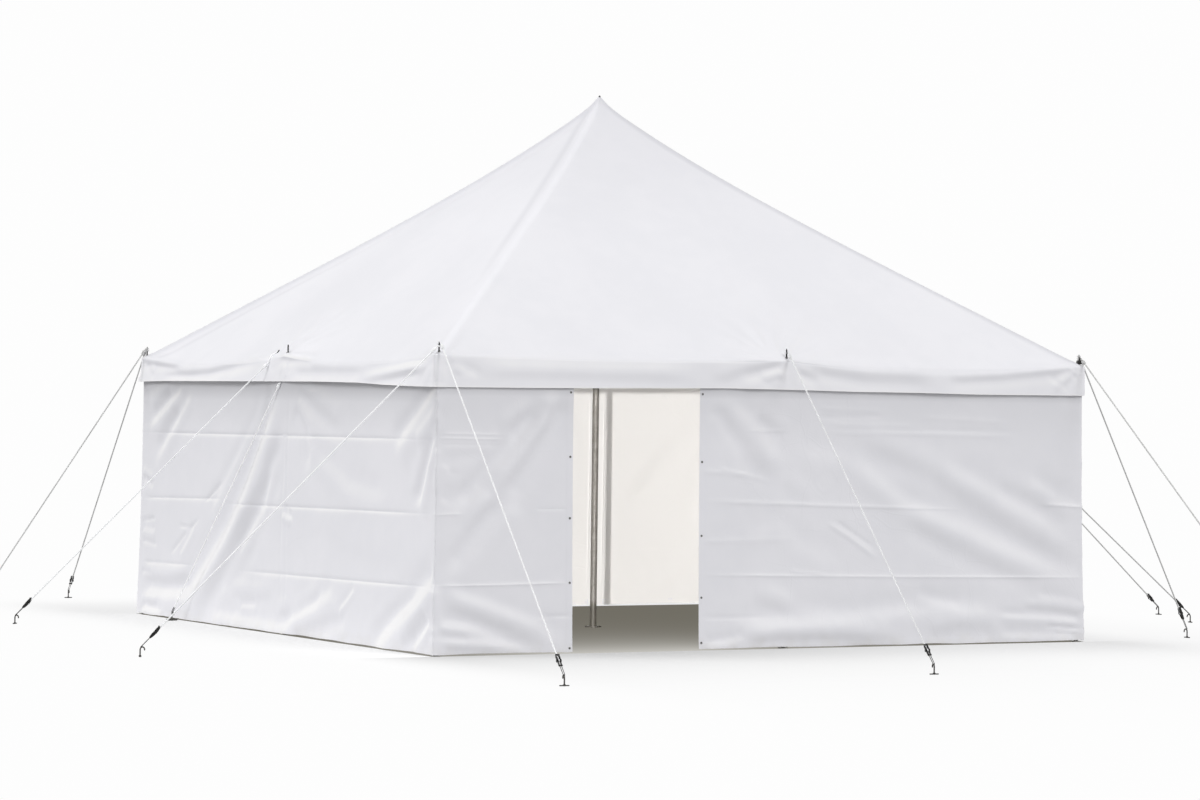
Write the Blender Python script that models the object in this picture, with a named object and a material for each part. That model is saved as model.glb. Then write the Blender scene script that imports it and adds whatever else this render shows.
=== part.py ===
"""A square marquee of white PVC sheet: poles, roof, walls, guy ropes and ground anchors.

Metres, +Z up. The origin is on the ground under the centre pole. The doorway is in the
front wall, which faces -Y, and it is open: the walls hang as loose panels beside it.
"""

import math

import bmesh
import bpy
from mathutils import Matrix, Vector

# Plan and heights
POLE_LINE = 2.500
EAVE_OUT = 2.530
EAVE_Z = 1.930
PEAK_Z = 3.850
VALANCE_Z = 1.725
EAVE_SAG = 0.055
ROOF_HOLLOW = 0.082
ROOF_TOP_HALF = 0.050
ROOF_SHARES = (0.10, 0.18, 0.28, 0.42, 0.58, 0.74, 0.87, 0.95, 1.0)
BAY_STEPS = 4
LEAST_STEP = 0.010

# Sheet
ROOF_THICK = 0.004
SHEET_THICK = 0.002
GAP = 0.0003

# Walls, which lean out a little towards the ground
WALL_TOP_DROP = 0.030
WALL_FOOT_Z = 0.006
WALL_FOOT_OUT = 2.545
DOOR_LEFT = -1.530
DOOR_RIGHT = -0.580

# Poles
POLE_R = 0.016
POLE_TOP_Z = 1.929
SPIKE_R = 0.005
SPIKE_TIP_Z = 2.014
FOOT_R = 0.035
FOOT_H = 0.004
CENTRE_R = 0.024
CENTRE_FOOT_R = 0.060
CENTRE_TOP_Z = 3.760
CENTRE_SPIKE_R = 0.008
CENTRE_TIP_ABOVE = 0.022
HOLE_CLEAR = 0.0005

# Peak cap, a reinforcing square of sheet over the top of the roof
CAP_HALF = 0.110
CAP_THICK = 0.003
CAP_LIFT = 0.0008

# Ropes and ground anchors
ROPE_R = 0.004
HOOK_HEIGHTS = (1.984, 2.000)
HOOK_LEAD = 0.012
PEG_R = 0.007
PEG_HEAD_Z = 0.060
PEG_BEND = 0.020
LINK_R = 0.005
LINK_LENGTH = 0.112
RATCHET_R = 0.013
RATCHET_LENGTH = 0.100
RATCHET_TAPER = 0.010
ANCHOR_LENGTH = 0.225
PLAIN_LENGTH = 0.060

# Each side: the turn from the front, and how far its middle pole stands along it
SIDES = {
    "front": (0, 0.10),
    "right": (90, -0.60),
    "back": (180, 0.0),
    "left": (270, 0.12),
}

# Each guy rope: the pole it hooks on, which of the two heights, and where its anchor stands
GUYS = {
    "near_left": ("near", 0, (-4.32, -2.00)),
    "near_front": ("near", 1, (-2.93, -5.07)),
    "front_middle": ("front_middle", 0, (-0.32, -4.97)),
    "right_front": ("right", 0, (2.60, -4.77)),
    "right_side": ("right", 1, (3.54, -2.41)),
    "right_middle_a": ("right_middle", 0, (4.77, -0.83)),
    "right_middle_b": ("right_middle", 1, (5.21, 0.16)),
    "rear_side": ("rear", 0, (4.00, 2.41)),
    "rear_back": ("rear", 1, (2.60, 4.77)),
    "back_middle": ("back_middle", 0, (0.0, 4.77)),
    "left_back": ("left", 0, (-2.25, 4.77)),
    "left_side": ("left", 1, (-3.77, 2.68)),
}

# The two ropes of the left side that are tied to the sheet by the middle pole
EAVE_TIE_ALONG = -0.13
EAVE_TIE_Z = 1.885
EAVE_TIE_ANCHOR = (-3.87, 1.54)
WALL_STAY_ALONG = 0.03
WALL_STAY_CLEAR = 0.0035
WALL_STAY_Z = 1.719
WALL_STAY_ANCHOR = (-2.64, 1.60)

PVC_WHITE = ((0.82, 0.82, 0.84), 0.38, 0.0)
ROPE_WHITE = ((0.72, 0.72, 0.70), 0.80, 0.0)
POLE_STEEL = ((0.30, 0.28, 0.25), 0.45, 0.8)
ANCHOR_STEEL = ((0.06, 0.06, 0.06), 0.50, 0.7)


def clear_scene():
    for found in list(bpy.data.objects):
        bpy.data.objects.remove(found, do_unlink=True)


def make_material(name, look):
    colour, roughness, metallic = look
    made = bpy.data.materials.new(name)
    made.use_nodes = True
    shader = made.node_tree.nodes["Principled BSDF"]
    shader.inputs["Base Color"].default_value = (*colour, 1.0)
    shader.inputs["Roughness"].default_value = roughness
    shader.inputs["Metallic"].default_value = metallic
    return made


def add_object(name, data, look):
    data.materials.append(make_material(name, look))
    made = bpy.data.objects.new(name, data)
    bpy.context.scene.collection.objects.link(made)
    return made


def add_mesh(name, points, faces, look, smooth=False):
    data = bpy.data.meshes.new(name)
    data.from_pydata(points, [], faces)
    work = bmesh.new()
    work.from_mesh(data)
    bmesh.ops.recalc_face_normals(work, faces=work.faces)
    if work.calc_volume(signed=True) < 0:
        bmesh.ops.reverse_faces(work, faces=work.faces)
    work.to_mesh(data)
    work.free()
    if smooth:
        data.shade_smooth()
        data.set_sharp_from_angle(angle=math.radians(35))
    return add_object(name, data, look)


def slab(name, outer, inner, look):
    """A closed sheet between two grids of points, each a list of rows of equal length.

    Both faces are split along the same diagonals, so the sheet keeps its thickness.
    """
    rows, columns = len(outer), len(outer[0])
    points = [point for grid in (outer, inner) for row in grid for point in row]
    below = rows * columns

    def at(row, column, side):
        return side * below + row * columns + column

    faces = []
    for row in range(rows - 1):
        for column in range(columns - 1):
            for side in (0, 1):
                first, second = at(row, column, side), at(row, column + 1, side)
                third, fourth = at(row + 1, column + 1, side), at(row + 1, column, side)
                halves = [[first, second, third], [first, third, fourth]]
                faces += halves if side == 0 else [half[::-1] for half in halves]
    rim = [(0, column) for column in range(columns)]
    rim += [(row, columns - 1) for row in range(1, rows)]
    rim += [(rows - 1, column) for column in range(columns - 2, -1, -1)]
    rim += [(row, 0) for row in range(rows - 2, 0, -1)]
    for start, end in zip(rim, rim[1:] + rim[:1]):
        faces.append([at(*start, 0), at(*start, 1), at(*end, 1), at(*end, 0)])
    return add_mesh(name, points, faces, look)


def turned(name, profile, place, look, sides=16):
    """A closed turned shape from its (radius, height) profile, bottom to top."""
    points = []
    for radius, height in profile:
        for step in range(sides):
            angle = 2 * math.pi * step / sides
            offset = Vector((radius * math.cos(angle), radius * math.sin(angle), height))
            points.append(place + offset)
    faces = [list(range(sides))[::-1]]
    for ring in range(len(profile) - 1):
        low, high = ring * sides, (ring + 1) * sides
        for step in range(sides):
            following = (step + 1) % sides
            faces.append([low + step, low + following, high + following, high + step])
    last = (len(profile) - 1) * sides
    faces.append(list(range(last, last + sides)))
    return add_mesh(name, points, faces, look, smooth=True)


def tube(name, path, radii, look):
    """A round tube along a path, whose radius may change from point to point."""
    data = bpy.data.curves.new(name, "CURVE")
    data.dimensions = "3D"
    data.bevel_depth = 1.0
    data.bevel_resolution = 2
    data.use_fill_caps = True
    spline = data.splines.new("POLY")
    spline.points.add(len(path) - 1)
    for made, place, radius in zip(spline.points, path, radii):
        made.co = (*place, 1.0)
        made.radius = radius
    spline.use_smooth = True
    return add_object(name, data, look)


def turn_about_z(point, degrees):
    return Matrix.Rotation(math.radians(degrees), 3, "Z") @ Vector(point)


def bay_sag(along, middle):
    """How far the eave hangs below its poles at this place along a side."""
    low, high = (-EAVE_OUT, middle) if along < middle else (middle, EAVE_OUT)
    share = (along - low) / (high - low)
    return EAVE_SAG * 4 * share * (1 - share)


def roof_height(out_share, along, middle):
    """Height of the roof's upper face: 0 at the peak, 1 at the eave, on a hollow slope."""
    hollow = ROOF_HOLLOW * (1 - out_share) * (1 - (1 - out_share) ** 4)
    fall = (PEAK_Z - EAVE_Z) * (out_share + hollow)
    return PEAK_Z - fall - bay_sag(along, middle) * out_share**6


def bay_columns(low, high, middle):
    """Places along a side: its two bays are each divided evenly, then cut to this stretch."""
    stops = []
    for start, end in ((-EAVE_OUT, middle), (middle, EAVE_OUT)):
        stops += [start + (end - start) * step / BAY_STEPS for step in range(BAY_STEPS)]
    inside = [stop for stop in stops if low + LEAST_STEP < stop < high - LEAST_STEP]
    return [low, *inside, high]


def build_roof(side, turn, middle, holes):
    shares = [ROOF_TOP_HALF / EAVE_OUT, CAP_HALF / EAVE_OUT, *ROOF_SHARES]
    outer, inner = [], []
    for share in shares:
        row = []
        for along in bay_columns(-EAVE_OUT, EAVE_OUT, middle):
            reach = share * EAVE_OUT
            place = along * (reach - GAP) / EAVE_OUT
            height = roof_height(share, along, middle)
            row.append(turn_about_z((place, -reach, height), turn))
        outer.append(row)
        inner.append([point - Vector((0, 0, ROOF_THICK)) for point in row])
    made = slab(f"roof_{side}", outer, inner, PVC_WHITE)
    cut = made.modifiers.new("spike_holes", "BOOLEAN")
    cut.operation = "DIFFERENCE"
    cut.solver = "EXACT"
    cut.object = holes


def build_spike_holes(poles):
    """The cutter for the eyelets that the poles' spikes stand through."""
    work = bmesh.new()
    for place in poles.values():
        bmesh.ops.create_cone(
            work,
            cap_ends=True,
            segments=12,
            radius1=SPIKE_R + HOLE_CLEAR,
            radius2=SPIKE_R + HOLE_CLEAR,
            depth=0.2,
            matrix=Matrix.Translation((place.x, place.y, EAVE_Z)),
        )
    data = bpy.data.meshes.new("spike_holes")
    work.to_mesh(data)
    work.free()
    made = bpy.data.objects.new("spike_holes", data)
    bpy.context.scene.collection.objects.link(made)
    made.hide_render = True
    made.display_type = "WIRE"
    return made


def build_valance(side, turn, middle):
    reach = EAVE_OUT if side in ("front", "back") else EAVE_OUT - SHEET_THICK - GAP
    outer, inner = [[], []], [[], []]
    for along in bay_columns(-reach, reach, middle):
        top = roof_height(1.0, along, middle) - ROOF_THICK - GAP
        for row, height in enumerate((top, VALANCE_Z)):
            outer[row].append(turn_about_z((along, -EAVE_OUT, height), turn))
            inner[row].append(turn_about_z((along, SHEET_THICK - EAVE_OUT, height), turn))
    slab(f"valance_{side}", outer, inner, PVC_WHITE)


def build_wall(name, turn, middle, low=None, high=None):
    """One hung panel. An end with no stated place runs to the corner of the plan."""
    meets_inside = turn in (0, 180)
    top_face = POLE_LINE + POLE_R + GAP + SHEET_THICK
    outer, inner = [], []
    for face, at_foot in ((top_face, False), (WALL_FOOT_OUT, True)):
        corner = face - SHEET_THICK - GAP if meets_inside else face
        ends = (-corner if low is None else low, corner if high is None else high)
        inside = bay_columns(-top_face, top_face, middle)[1:-1]
        kept = [stop for stop in inside if ends[0] < stop < ends[1]]
        columns = [ends[0], *kept, ends[1]]
        outer_row, inner_row = [], []
        for along in columns:
            top = roof_height(1.0, along, middle) - WALL_TOP_DROP
            height = WALL_FOOT_Z if at_foot else top
            outer_row.append(turn_about_z((along, -face, height), turn))
            inner_row.append(turn_about_z((along, SHEET_THICK - face, height), turn))
        outer.append(outer_row)
        inner.append(inner_row)
    slab(name, outer, inner, PVC_WHITE)


def build_side_pole(name, place):
    profile = [
        (FOOT_R, 0.0),
        (FOOT_R, FOOT_H),
        (POLE_R, FOOT_H),
        (POLE_R, POLE_TOP_Z),
        (SPIKE_R, POLE_TOP_Z),
        (SPIKE_R, SPIKE_TIP_Z - 2 * SPIKE_R),
        (SPIKE_R / 4, SPIKE_TIP_Z),
    ]
    turned(f"side_pole_{name}", profile, place, POLE_STEEL)


def build_centre_pole():
    profile = [
        (CENTRE_FOOT_R, 0.0),
        (CENTRE_FOOT_R, 2 * FOOT_H),
        (CENTRE_R, 2 * FOOT_H),
        (CENTRE_R, CENTRE_TOP_Z),
        (CENTRE_SPIKE_R, CENTRE_TOP_Z),
        (CENTRE_SPIKE_R, PEAK_Z + CENTRE_TIP_ABOVE - CENTRE_SPIKE_R),
        (CENTRE_SPIKE_R / 4, PEAK_Z + CENTRE_TIP_ABOVE),
    ]
    turned("centre_pole", profile, Vector((0, 0, 0)), POLE_STEEL, sides=20)


def build_peak_cap():
    """Square rings of sheet that lie on the roof, round the hole for the centre pole's spike."""
    hole = CENTRE_SPIKE_R + HOLE_CLEAR
    reaches = (hole, ROOF_TOP_HALF, CAP_HALF)
    lift = {hole: 0.0, ROOF_TOP_HALF: CAP_LIFT, CAP_HALF: CAP_LIFT}
    corners = ((-1, -1), (1, -1), (1, 1), (-1, 1))
    points, faces = [], []
    for thick in (CAP_THICK, 0.0):
        for reach in reaches:
            height = roof_height(reach / EAVE_OUT, 0.0, 0.0) + lift[reach] + thick
            points += [Vector((x * reach, y * reach, height)) for x, y in corners]
    rings = len(reaches)
    for step in range(4):
        following = (step + 1) % 4
        loop = [ring * 4 for ring in range(rings)]
        loop += [(rings + ring) * 4 for ring in range(rings - 1, -1, -1)]
        for start, end in zip(loop, loop[1:] + loop[:1]):
            faces.append([start + step, end + step, end + following, start + following])
    add_mesh("peak_cap", points, faces, PVC_WHITE)


def build_anchor(name, foot, line, plain):
    """A ground peg bent to the rope's line, its link and the ratchet that tightens the rope.

    A plain one is only the peg and a short link.
    """
    up = Vector((0, 0, 1))
    head = foot + up * PEG_HEAD_Z
    ratchet_end = LINK_LENGTH + RATCHET_LENGTH
    path = [
        foot,
        head - up * PEG_BEND,
        head + (line - up) * PEG_BEND / 4,
        head + line * PEG_BEND,
    ]
    radii = [PEG_R] * 4
    if plain:
        path.append(head + line * PLAIN_LENGTH)
        tube(f"anchor_{name}", path, [*radii, LINK_R], ANCHOR_STEEL)
        return head + line * (PLAIN_LENGTH + GAP)
    path += [
        head + line * LINK_LENGTH,
        head + line * (LINK_LENGTH + RATCHET_TAPER),
        head + line * (ratchet_end - RATCHET_TAPER),
        head + line * ratchet_end,
        head + line * ANCHOR_LENGTH,
    ]
    radii += [LINK_R, RATCHET_R, RATCHET_R, LINK_R, LINK_R]
    tube(f"anchor_{name}", path, radii, ANCHOR_STEEL)
    return head + line * (ANCHOR_LENGTH + GAP)


def rope_line(start, foot):
    return (start - foot - Vector((0, 0, PEG_HEAD_Z))).normalized()


def build_guy(name, pole, height, anchor):
    """A rope that loops round a pole's spike and runs straight to its anchor."""
    foot = Vector((*anchor, 0.0))
    centre = Vector((pole.x, pole.y, height))
    ahead = Vector((foot.x - pole.x, foot.y - pole.y, 0.0)).normalized()
    aside = Vector((-ahead.y, ahead.x, 0.0))
    radius = SPIKE_R + GAP + ROPE_R
    path = []
    for degrees in range(180, -1, -30):
        angle = math.radians(degrees)
        path.append(centre + radius * (math.cos(angle) * aside - math.sin(angle) * ahead))
    start = path[-1] + ahead * HOOK_LEAD
    end = build_anchor(name, foot, rope_line(start, foot), plain=False)
    path += [start, end]
    tube(f"guy_rope_{name}", path, [ROPE_R] * len(path), ROPE_WHITE)


def build_tied_rope(name, start, anchor, plain=False):
    """A rope tied at the eave instead of hooked on a spike."""
    foot = Vector((*anchor, 0.0))
    end = build_anchor(name, foot, rope_line(start, foot), plain)
    tube(f"guy_rope_{name}", [start, end], [ROPE_R] * 2, ROPE_WHITE)


def pole_places():
    corners = {"near": (-1, -1), "right": (1, -1), "rear": (1, 1), "left": (-1, 1)}
    places = {
        name: Vector((x * POLE_LINE, y * POLE_LINE, 0)) for name, (x, y) in corners.items()
    }
    for side, (turn, middle) in SIDES.items():
        places[f"{side}_middle"] = turn_about_z((middle, -POLE_LINE, 0), turn)
    return places


def main():
    clear_scene()
    poles = pole_places()
    holes = build_spike_holes(poles)
    for side, (turn, middle) in SIDES.items():
        build_roof(side, turn, middle, holes)
        build_valance(side, turn, middle)
        if side != "front":
            build_wall(f"wall_{side}", turn, middle)
    front_middle = SIDES["front"][1]
    build_wall("wall_front_left", 0, front_middle, high=DOOR_LEFT)
    build_wall("wall_front_right", 0, front_middle, low=DOOR_RIGHT)
    build_peak_cap()
    build_centre_pole()
    for name, place in poles.items():
        build_side_pole(name, place)
    for name, (pole, slot, anchor) in GUYS.items():
        build_guy(name, poles[pole], HOOK_HEIGHTS[slot], anchor)
    left_turn = SIDES["left"][0]
    tie_out = EAVE_OUT + GAP + ROPE_R
    eave_tie = turn_about_z((EAVE_TIE_ALONG, -tie_out, EAVE_TIE_Z), left_turn)
    build_tied_rope("left_middle", eave_tie, EAVE_TIE_ANCHOR)
    stay_out = POLE_LINE + POLE_R + SHEET_THICK + WALL_STAY_CLEAR + ROPE_R
    wall_stay = turn_about_z((WALL_STAY_ALONG, -stay_out, WALL_STAY_Z), left_turn)
    build_tied_rope("left_wall_stay", wall_stay, WALL_STAY_ANCHOR, plain=True)


main()
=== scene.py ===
import math

import bmesh
import bpy
import numpy as np
from mathutils import Matrix, Vector


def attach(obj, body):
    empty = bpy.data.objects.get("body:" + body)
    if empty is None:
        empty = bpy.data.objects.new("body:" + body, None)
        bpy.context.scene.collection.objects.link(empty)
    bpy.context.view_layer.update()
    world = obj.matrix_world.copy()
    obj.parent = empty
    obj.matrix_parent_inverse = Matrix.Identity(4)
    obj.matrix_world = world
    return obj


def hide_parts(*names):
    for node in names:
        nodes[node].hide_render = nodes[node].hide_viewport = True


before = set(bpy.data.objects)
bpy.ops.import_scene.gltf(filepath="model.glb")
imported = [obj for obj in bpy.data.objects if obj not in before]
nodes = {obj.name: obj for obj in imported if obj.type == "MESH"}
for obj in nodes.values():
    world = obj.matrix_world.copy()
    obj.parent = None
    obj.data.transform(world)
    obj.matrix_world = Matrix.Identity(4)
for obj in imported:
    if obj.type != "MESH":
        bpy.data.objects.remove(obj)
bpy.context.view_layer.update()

scene = bpy.context.scene
allPieces = {}

# Places shared with the solids, in metres. Each side runs counterclockwise seen from above.
plan = {
    "poleLine": 2.500, "poleRadius": 0.016, "eaveOut": 2.530, "eaveZ": 1.930, "peakZ": 3.850,
    "hemZ": 1.725, "eaveSag": 0.055, "hollow": 0.082, "wallTopOut": 2.5190, "wallFootOut": 2.545,
    "wallFootZ": 0.008, "doorLeft": -1.530, "doorRight": -0.580,
}
eaveOut, eaveZ = plan["eaveOut"], plan["eaveZ"]
sides = {
    "front": {"along": (1, 0), "outward": (0, -1), "middle": 0.10, "corner": 0},
    "right": {"along": (0, 1), "outward": (1, 0), "middle": -0.60, "corner": 1},
    "back": {"along": (-1, 0), "outward": (0, 1), "middle": 0.0, "corner": 2},
    "left": {"along": (0, -1), "outward": (-1, 0), "middle": 0.12, "corner": 3},
}
sideLight = {  # the way daylight falls across each side: along it, and upward
    "front": (0.12, 0.25), "right": (-0.28, 0.25), "back": (-0.12, 0.25), "left": (-0.15, 0.25),
}
foldGains = {  # how strong the folds are: in the walls, their narrow creases, at the eave
    "front": (0.80, 2.0, 0.80), "right": (1.1, 1.8, 1.0), "back": (1.1, 1.5, 1.0), "left": (1.35, 2.6, 1.0),
}
hemRises = {  # how much shorter the valance hangs than its pattern, as (place along the side, metres)
    "front": [(-2.53, -0.002), (-1.9, 0.0), (-1.3, 0.005), (-0.4, 0.016), (0.13, 0.012), (0.63, 0.005), (1.13, 0.004),
              (1.63, -0.002), (2.53, 0.0)],
    "right": [(-2.53, 0.0), (2.53, 0.0)], "back": [(-2.53, 0.0), (1.2, 0.004), (2.53, 0.026)],
    "left": [(-2.53, 0.026), (-2.0, 0.031), (0.7, 0.030), (1.4, 0.024), (1.8, 0.010), (2.2, 0.002), (2.53, -0.002)],
}


# ---- small helpers ----

def smoothStep(low, high, value):
    share = np.clip((value - low) / (high - low), 0.0, 1.0)
    return share * share * (3 - 2 * share)


def softNoise(x, y, seed):  # smooth value noise, one lump per unit, from -1 to 1
    table = np.random.default_rng(seed).uniform(-1, 1, (128, 128))
    x0, y0 = np.floor(x).astype(int), np.floor(y).astype(int)
    fx, fy = x - x0, y - y0
    fx, fy = fx * fx * (3 - 2 * fx), fy * fy * (3 - 2 * fy)
    near = table[x0 % 128, y0 % 128] * (1 - fx) + table[(x0 + 1) % 128, y0 % 128] * fx
    far = table[x0 % 128, (y0 + 1) % 128] * (1 - fx) + table[(x0 + 1) % 128, (y0 + 1) % 128] * fx
    return near * (1 - fy) + far * fy


def lineDistance(u, z, points):  # distance to a polyline, distance across it with its sign, and share along it
    ends = np.array(points, float)
    steps = np.hypot(*(ends[1:] - ends[:-1]).T)
    best, across, share, done = np.full(u.shape, 9.0), np.zeros(u.shape), np.zeros(u.shape), 0.0
    for start, end, length in zip(ends[:-1], ends[1:], steps):
        du, dz = (end - start) / length
        along = np.clip((u - start[0]) * du + (z - start[1]) * dz, 0, length)
        distance = np.hypot(u - start[0] - along * du, z - start[1] - along * dz)
        closer = distance < best
        best = np.where(closer, distance, best)
        across = np.where(closer, (u - start[0]) * dz - (z - start[1]) * du, across)
        share = np.where(closer, (done + along) / steps.sum(), share)
        done += length
    return best, across, share


def hill(value, centre, width):  # 1 at the centre, with soft flanks
    return np.exp(-(((value - centre) / width) ** 2))


foldShape = {"creaseWidth": 22, "creaseFade": 1.5, "flankFade": 0.42, "flankGain": 1.6, "boost": 0.24, "mostBoost": 2.0}


def foldField(u, z, folds, light, gain=1.0, creaseGain=1.0):
    # Each fold is (mm, mm half width, spread, points). A narrow one is a crease, out or in. A broad one is a
    # flank that leans to the light where mm is positive and away from it where mm is negative.
    shape, total = foldShape, np.zeros(u.shape)
    for height, width, spread, points in folds:
        distance, across, share = lineDistance(u, z, points)
        reach = width * 0.001 * (1 + (spread - 1) * share)
        ends = smoothStep(0, 0.16, share) * smoothStep(0, 0.22, 1 - share)
        size = height * 0.001
        if width <= shape["creaseWidth"]:
            total += creaseGain * size * (0.12 + 0.88 * ends) * np.exp(-shape["creaseFade"] * distance / reach)
            continue
        run = np.array(points[-1]) - np.array(points[0])
        facing = (run[1] * light[0] - run[0] * light[1]) / np.hypot(*run)
        boost = min(shape["boost"] / max(abs(facing), 0.05), shape["mostBoost"])
        slope = math.copysign(shape["flankGain"] * boost * gain, facing) * size * ends * (across / reach)
        total -= slope * np.exp(-shape["flankFade"] * (distance / reach) ** 2)
    return total


def bayShare(side, u):  # 0 at the poles, 1 in the middle of a bay; the bay over the door is drawn tight
    middle, reach = sides[side]["middle"], eaveOut
    low = np.where(u < middle, -reach, middle)
    high = np.where(u < middle, middle, reach)
    share = np.clip((u - low) / (high - low), 0, 1)
    return 4 * share * (1 - share) * np.where((u < middle) & (side == "front"), 0.25, 1.0)


def leanToLight(side, u, z, amount, upward=1.0):  # how much each point of a folded grid leans to the daylight
    across, rising = np.gradient(u, axis=1), np.gradient(z, axis=0)
    slopeAcross = np.gradient(amount, axis=1) / np.where(np.abs(across) > 1e-6, across, 1e9)
    slopeRising = np.gradient(amount, axis=0) / np.where(np.abs(rising) > 1e-6, rising, 1e9)
    light = np.array(sideLight[side]) / np.hypot(*sideLight[side])
    return np.clip(-(slopeAcross * light[0] + slopeRising * light[1] * upward), -1, 1)


def addMesh(name, points, faces, material, uv=None, lean=None):
    data = bpy.data.meshes.new(name)
    points = np.asarray(points, np.float32).reshape(-1, 3)
    data.from_pydata(points.tolist(), [], faces if isinstance(faces, list) else faces.tolist())
    if uv is not None:
        layer = data.uv_layers.new(name="cloth")
        index = np.empty(len(data.loops), np.int32)
        data.loops.foreach_get("vertex_index", index)
        layer.data.foreach_set("uv", np.asarray(uv, np.float32).reshape(-1, 2)[index].ravel())
    if lean is not None:
        attribute = data.attributes.new("lean", "FLOAT", "POINT")
        attribute.data.foreach_set("value", np.asarray(lean, np.float32).ravel())
    data.shade_smooth()
    data.materials.append(material)
    data.update()
    made = bpy.data.objects.new(name, data)
    scene.collection.objects.link(made)
    allPieces[name] = made
    return made


def gridFaces(rows, columns, start=0, flip=False):
    index = start + np.arange(rows * columns).reshape(rows, columns)
    a, b, c, d = index[:-1, :-1], index[:-1, 1:], index[1:, 1:], index[1:, :-1]
    return np.stack([a, d, c, b] if flip else [a, b, c, d], -1).reshape(-1, 4)


def roundCorners(u, columns, atStart=True, atEnd=True):  # adds the columns that turn round a corner, by 45 degrees
    arc = np.radians(np.linspace(0, 45, columns + 1)[1:])
    bend = np.zeros(len(u))
    if atStart:
        u, bend = np.concatenate([np.full(columns, -eaveOut), u]), np.concatenate([-arc[::-1], bend])
    if atEnd:
        u, bend = np.concatenate([u, np.full(columns, eaveOut)]), np.concatenate([bend, arc])
    return u, bend


def worldPoints(side, u, out, z):
    (ax, ay), (ox, oy) = sides[side]["along"], sides[side]["outward"]
    return np.stack([ax * u + ox * out, ay * u + oy * out, z], -1)


def strip(name, outer, inner, material, lean):  # a closed thin band between two point grids
    rows, columns = outer.shape[:2]
    size = rows * columns
    faces = np.concatenate([gridFaces(rows, columns), gridFaces(rows, columns, size, flip=True)])
    index = np.arange(size).reshape(rows, columns)
    rim = np.concatenate([index[0, :], index[1:, -1], index[-1, -2::-1], index[-2:0:-1, 0]])
    after = np.roll(rim, -1)
    faces = np.concatenate([faces, np.stack([after, rim, rim + size, after + size], -1)])
    points = np.concatenate([outer.reshape(-1, 3), inner.reshape(-1, 3)])
    made = addMesh(name, points, faces, material, lean=np.concatenate([lean.ravel()] * 2))
    made.data.set_sharp_from_angle(angle=math.radians(50))
    return made


def changeMesh(made, change):  # runs one change on a piece's mesh and shades it smooth
    work = bmesh.new()
    work.from_mesh(made.data)
    change(work)
    work.to_mesh(made.data)
    work.free()
    made.data.shade_smooth()


print("scene: helpers ready")


# ---- shader nodes and the groups that materials share ----

def addNode(tree, kind, **values):  # a lower-case name is a setting, any other a socket, filled in or linked
    node = tree.nodes.new(kind)
    for key, value in values.items():
        if hasattr(node, key):
            setattr(node, key, value)
            continue
        socket = node.inputs[int(key[1:]) if key[1:].isdigit() else key.replace("_", " ")]
        if isinstance(value, bpy.types.NodeSocket):
            tree.links.new(value, socket)
        else:
            socket.default_value = value
    return node


def mathNode(tree, operation, *values):
    sockets = {f"i{place}": value for place, value in enumerate(values)}
    return addNode(tree, "ShaderNodeMath", operation=operation, **sockets).outputs[0]


def rangeNode(tree, value, low, high, newLow=0.0, newHigh=1.0, smooth=True):
    kind = "SMOOTHSTEP" if smooth else "LINEAR"
    ends = {"From_Min": low, "From_Max": high, "To_Min": newLow, "To_Max": newHigh}
    return addNode(tree, "ShaderNodeMapRange", interpolation_type=kind, **ends, Value=value).outputs["Result"]


def noiseNode(tree, vector, scale, detail=2.0, **more):
    return addNode(tree, "ShaderNodeTexNoise", Vector=vector, Scale=scale, Detail=detail, **more).outputs["Fac"]


def mixColours(tree, factor, first, second):
    first, second = [(*value, 1.0) if isinstance(value, tuple) else value for value in (first, second)]
    return addNode(tree, "ShaderNodeMix", data_type="RGBA", Factor=factor, i6=first, i7=second).outputs[2]


def newTree(name, kind, inputs, outputs):  # a node tree with named sockets
    tree = bpy.data.node_groups.new(name, kind)
    for label, socketKind, value in inputs:
        socket = tree.interface.new_socket(label, in_out="INPUT", socket_type="NodeSocket" + socketKind)
        if value is not None:
            socket.default_value = value
    for label, socketKind in outputs:
        tree.interface.new_socket(label, in_out="OUTPUT", socket_type="NodeSocket" + socketKind)
    return tree, tree.nodes.new("NodeGroupInput").outputs, tree.nodes.new("NodeGroupOutput").inputs


def shaderGroup(name, outputs, **inputs):
    given = [("Vector", "Vector", None), *[(label, "Float", value) for label, value in inputs.items()]]
    return newTree(name, "ShaderNodeTree", given, [(label, "Float") for label in outputs])


def putOut(tree, result, **values):
    for key, value in values.items():
        tree.links.new(value, result[key])
    return tree


def packedCreasesGroup():  # the net of fine creases that folded sheet keeps
    group, given, result = shaderGroup("packedCreases", ("Height", "Mask"), Scale=2.6, Width=0.02)
    vector = given["Vector"]
    warp = addNode(group, "ShaderNodeTexNoise", Vector=vector, Scale=1.7, Detail=2.0).outputs["Color"]
    moved = addNode(group, "ShaderNodeVectorMath", operation="MULTIPLY_ADD", i0=warp, i1=(0.5, 0.5, 0.5), i2=vector)
    cells = {"feature": "DISTANCE_TO_EDGE", "Vector": moved.outputs[0], "Scale": given["Scale"]}
    gap = addNode(group, "ShaderNodeTexVoronoi", **cells).outputs["Distance"]
    line = mathNode(group, "DIVIDE", gap, given["Width"])
    line = mathNode(group, "SUBTRACT", 1.0, mathNode(group, "MINIMUM", line, 1.0))
    mask = mathNode(group, "MULTIPLY", line, rangeNode(group, noiseNode(group, vector, 0.9, 1.0), 0.45, 0.65))
    return putOut(group, result, Height=mask, Mask=mask)


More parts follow.
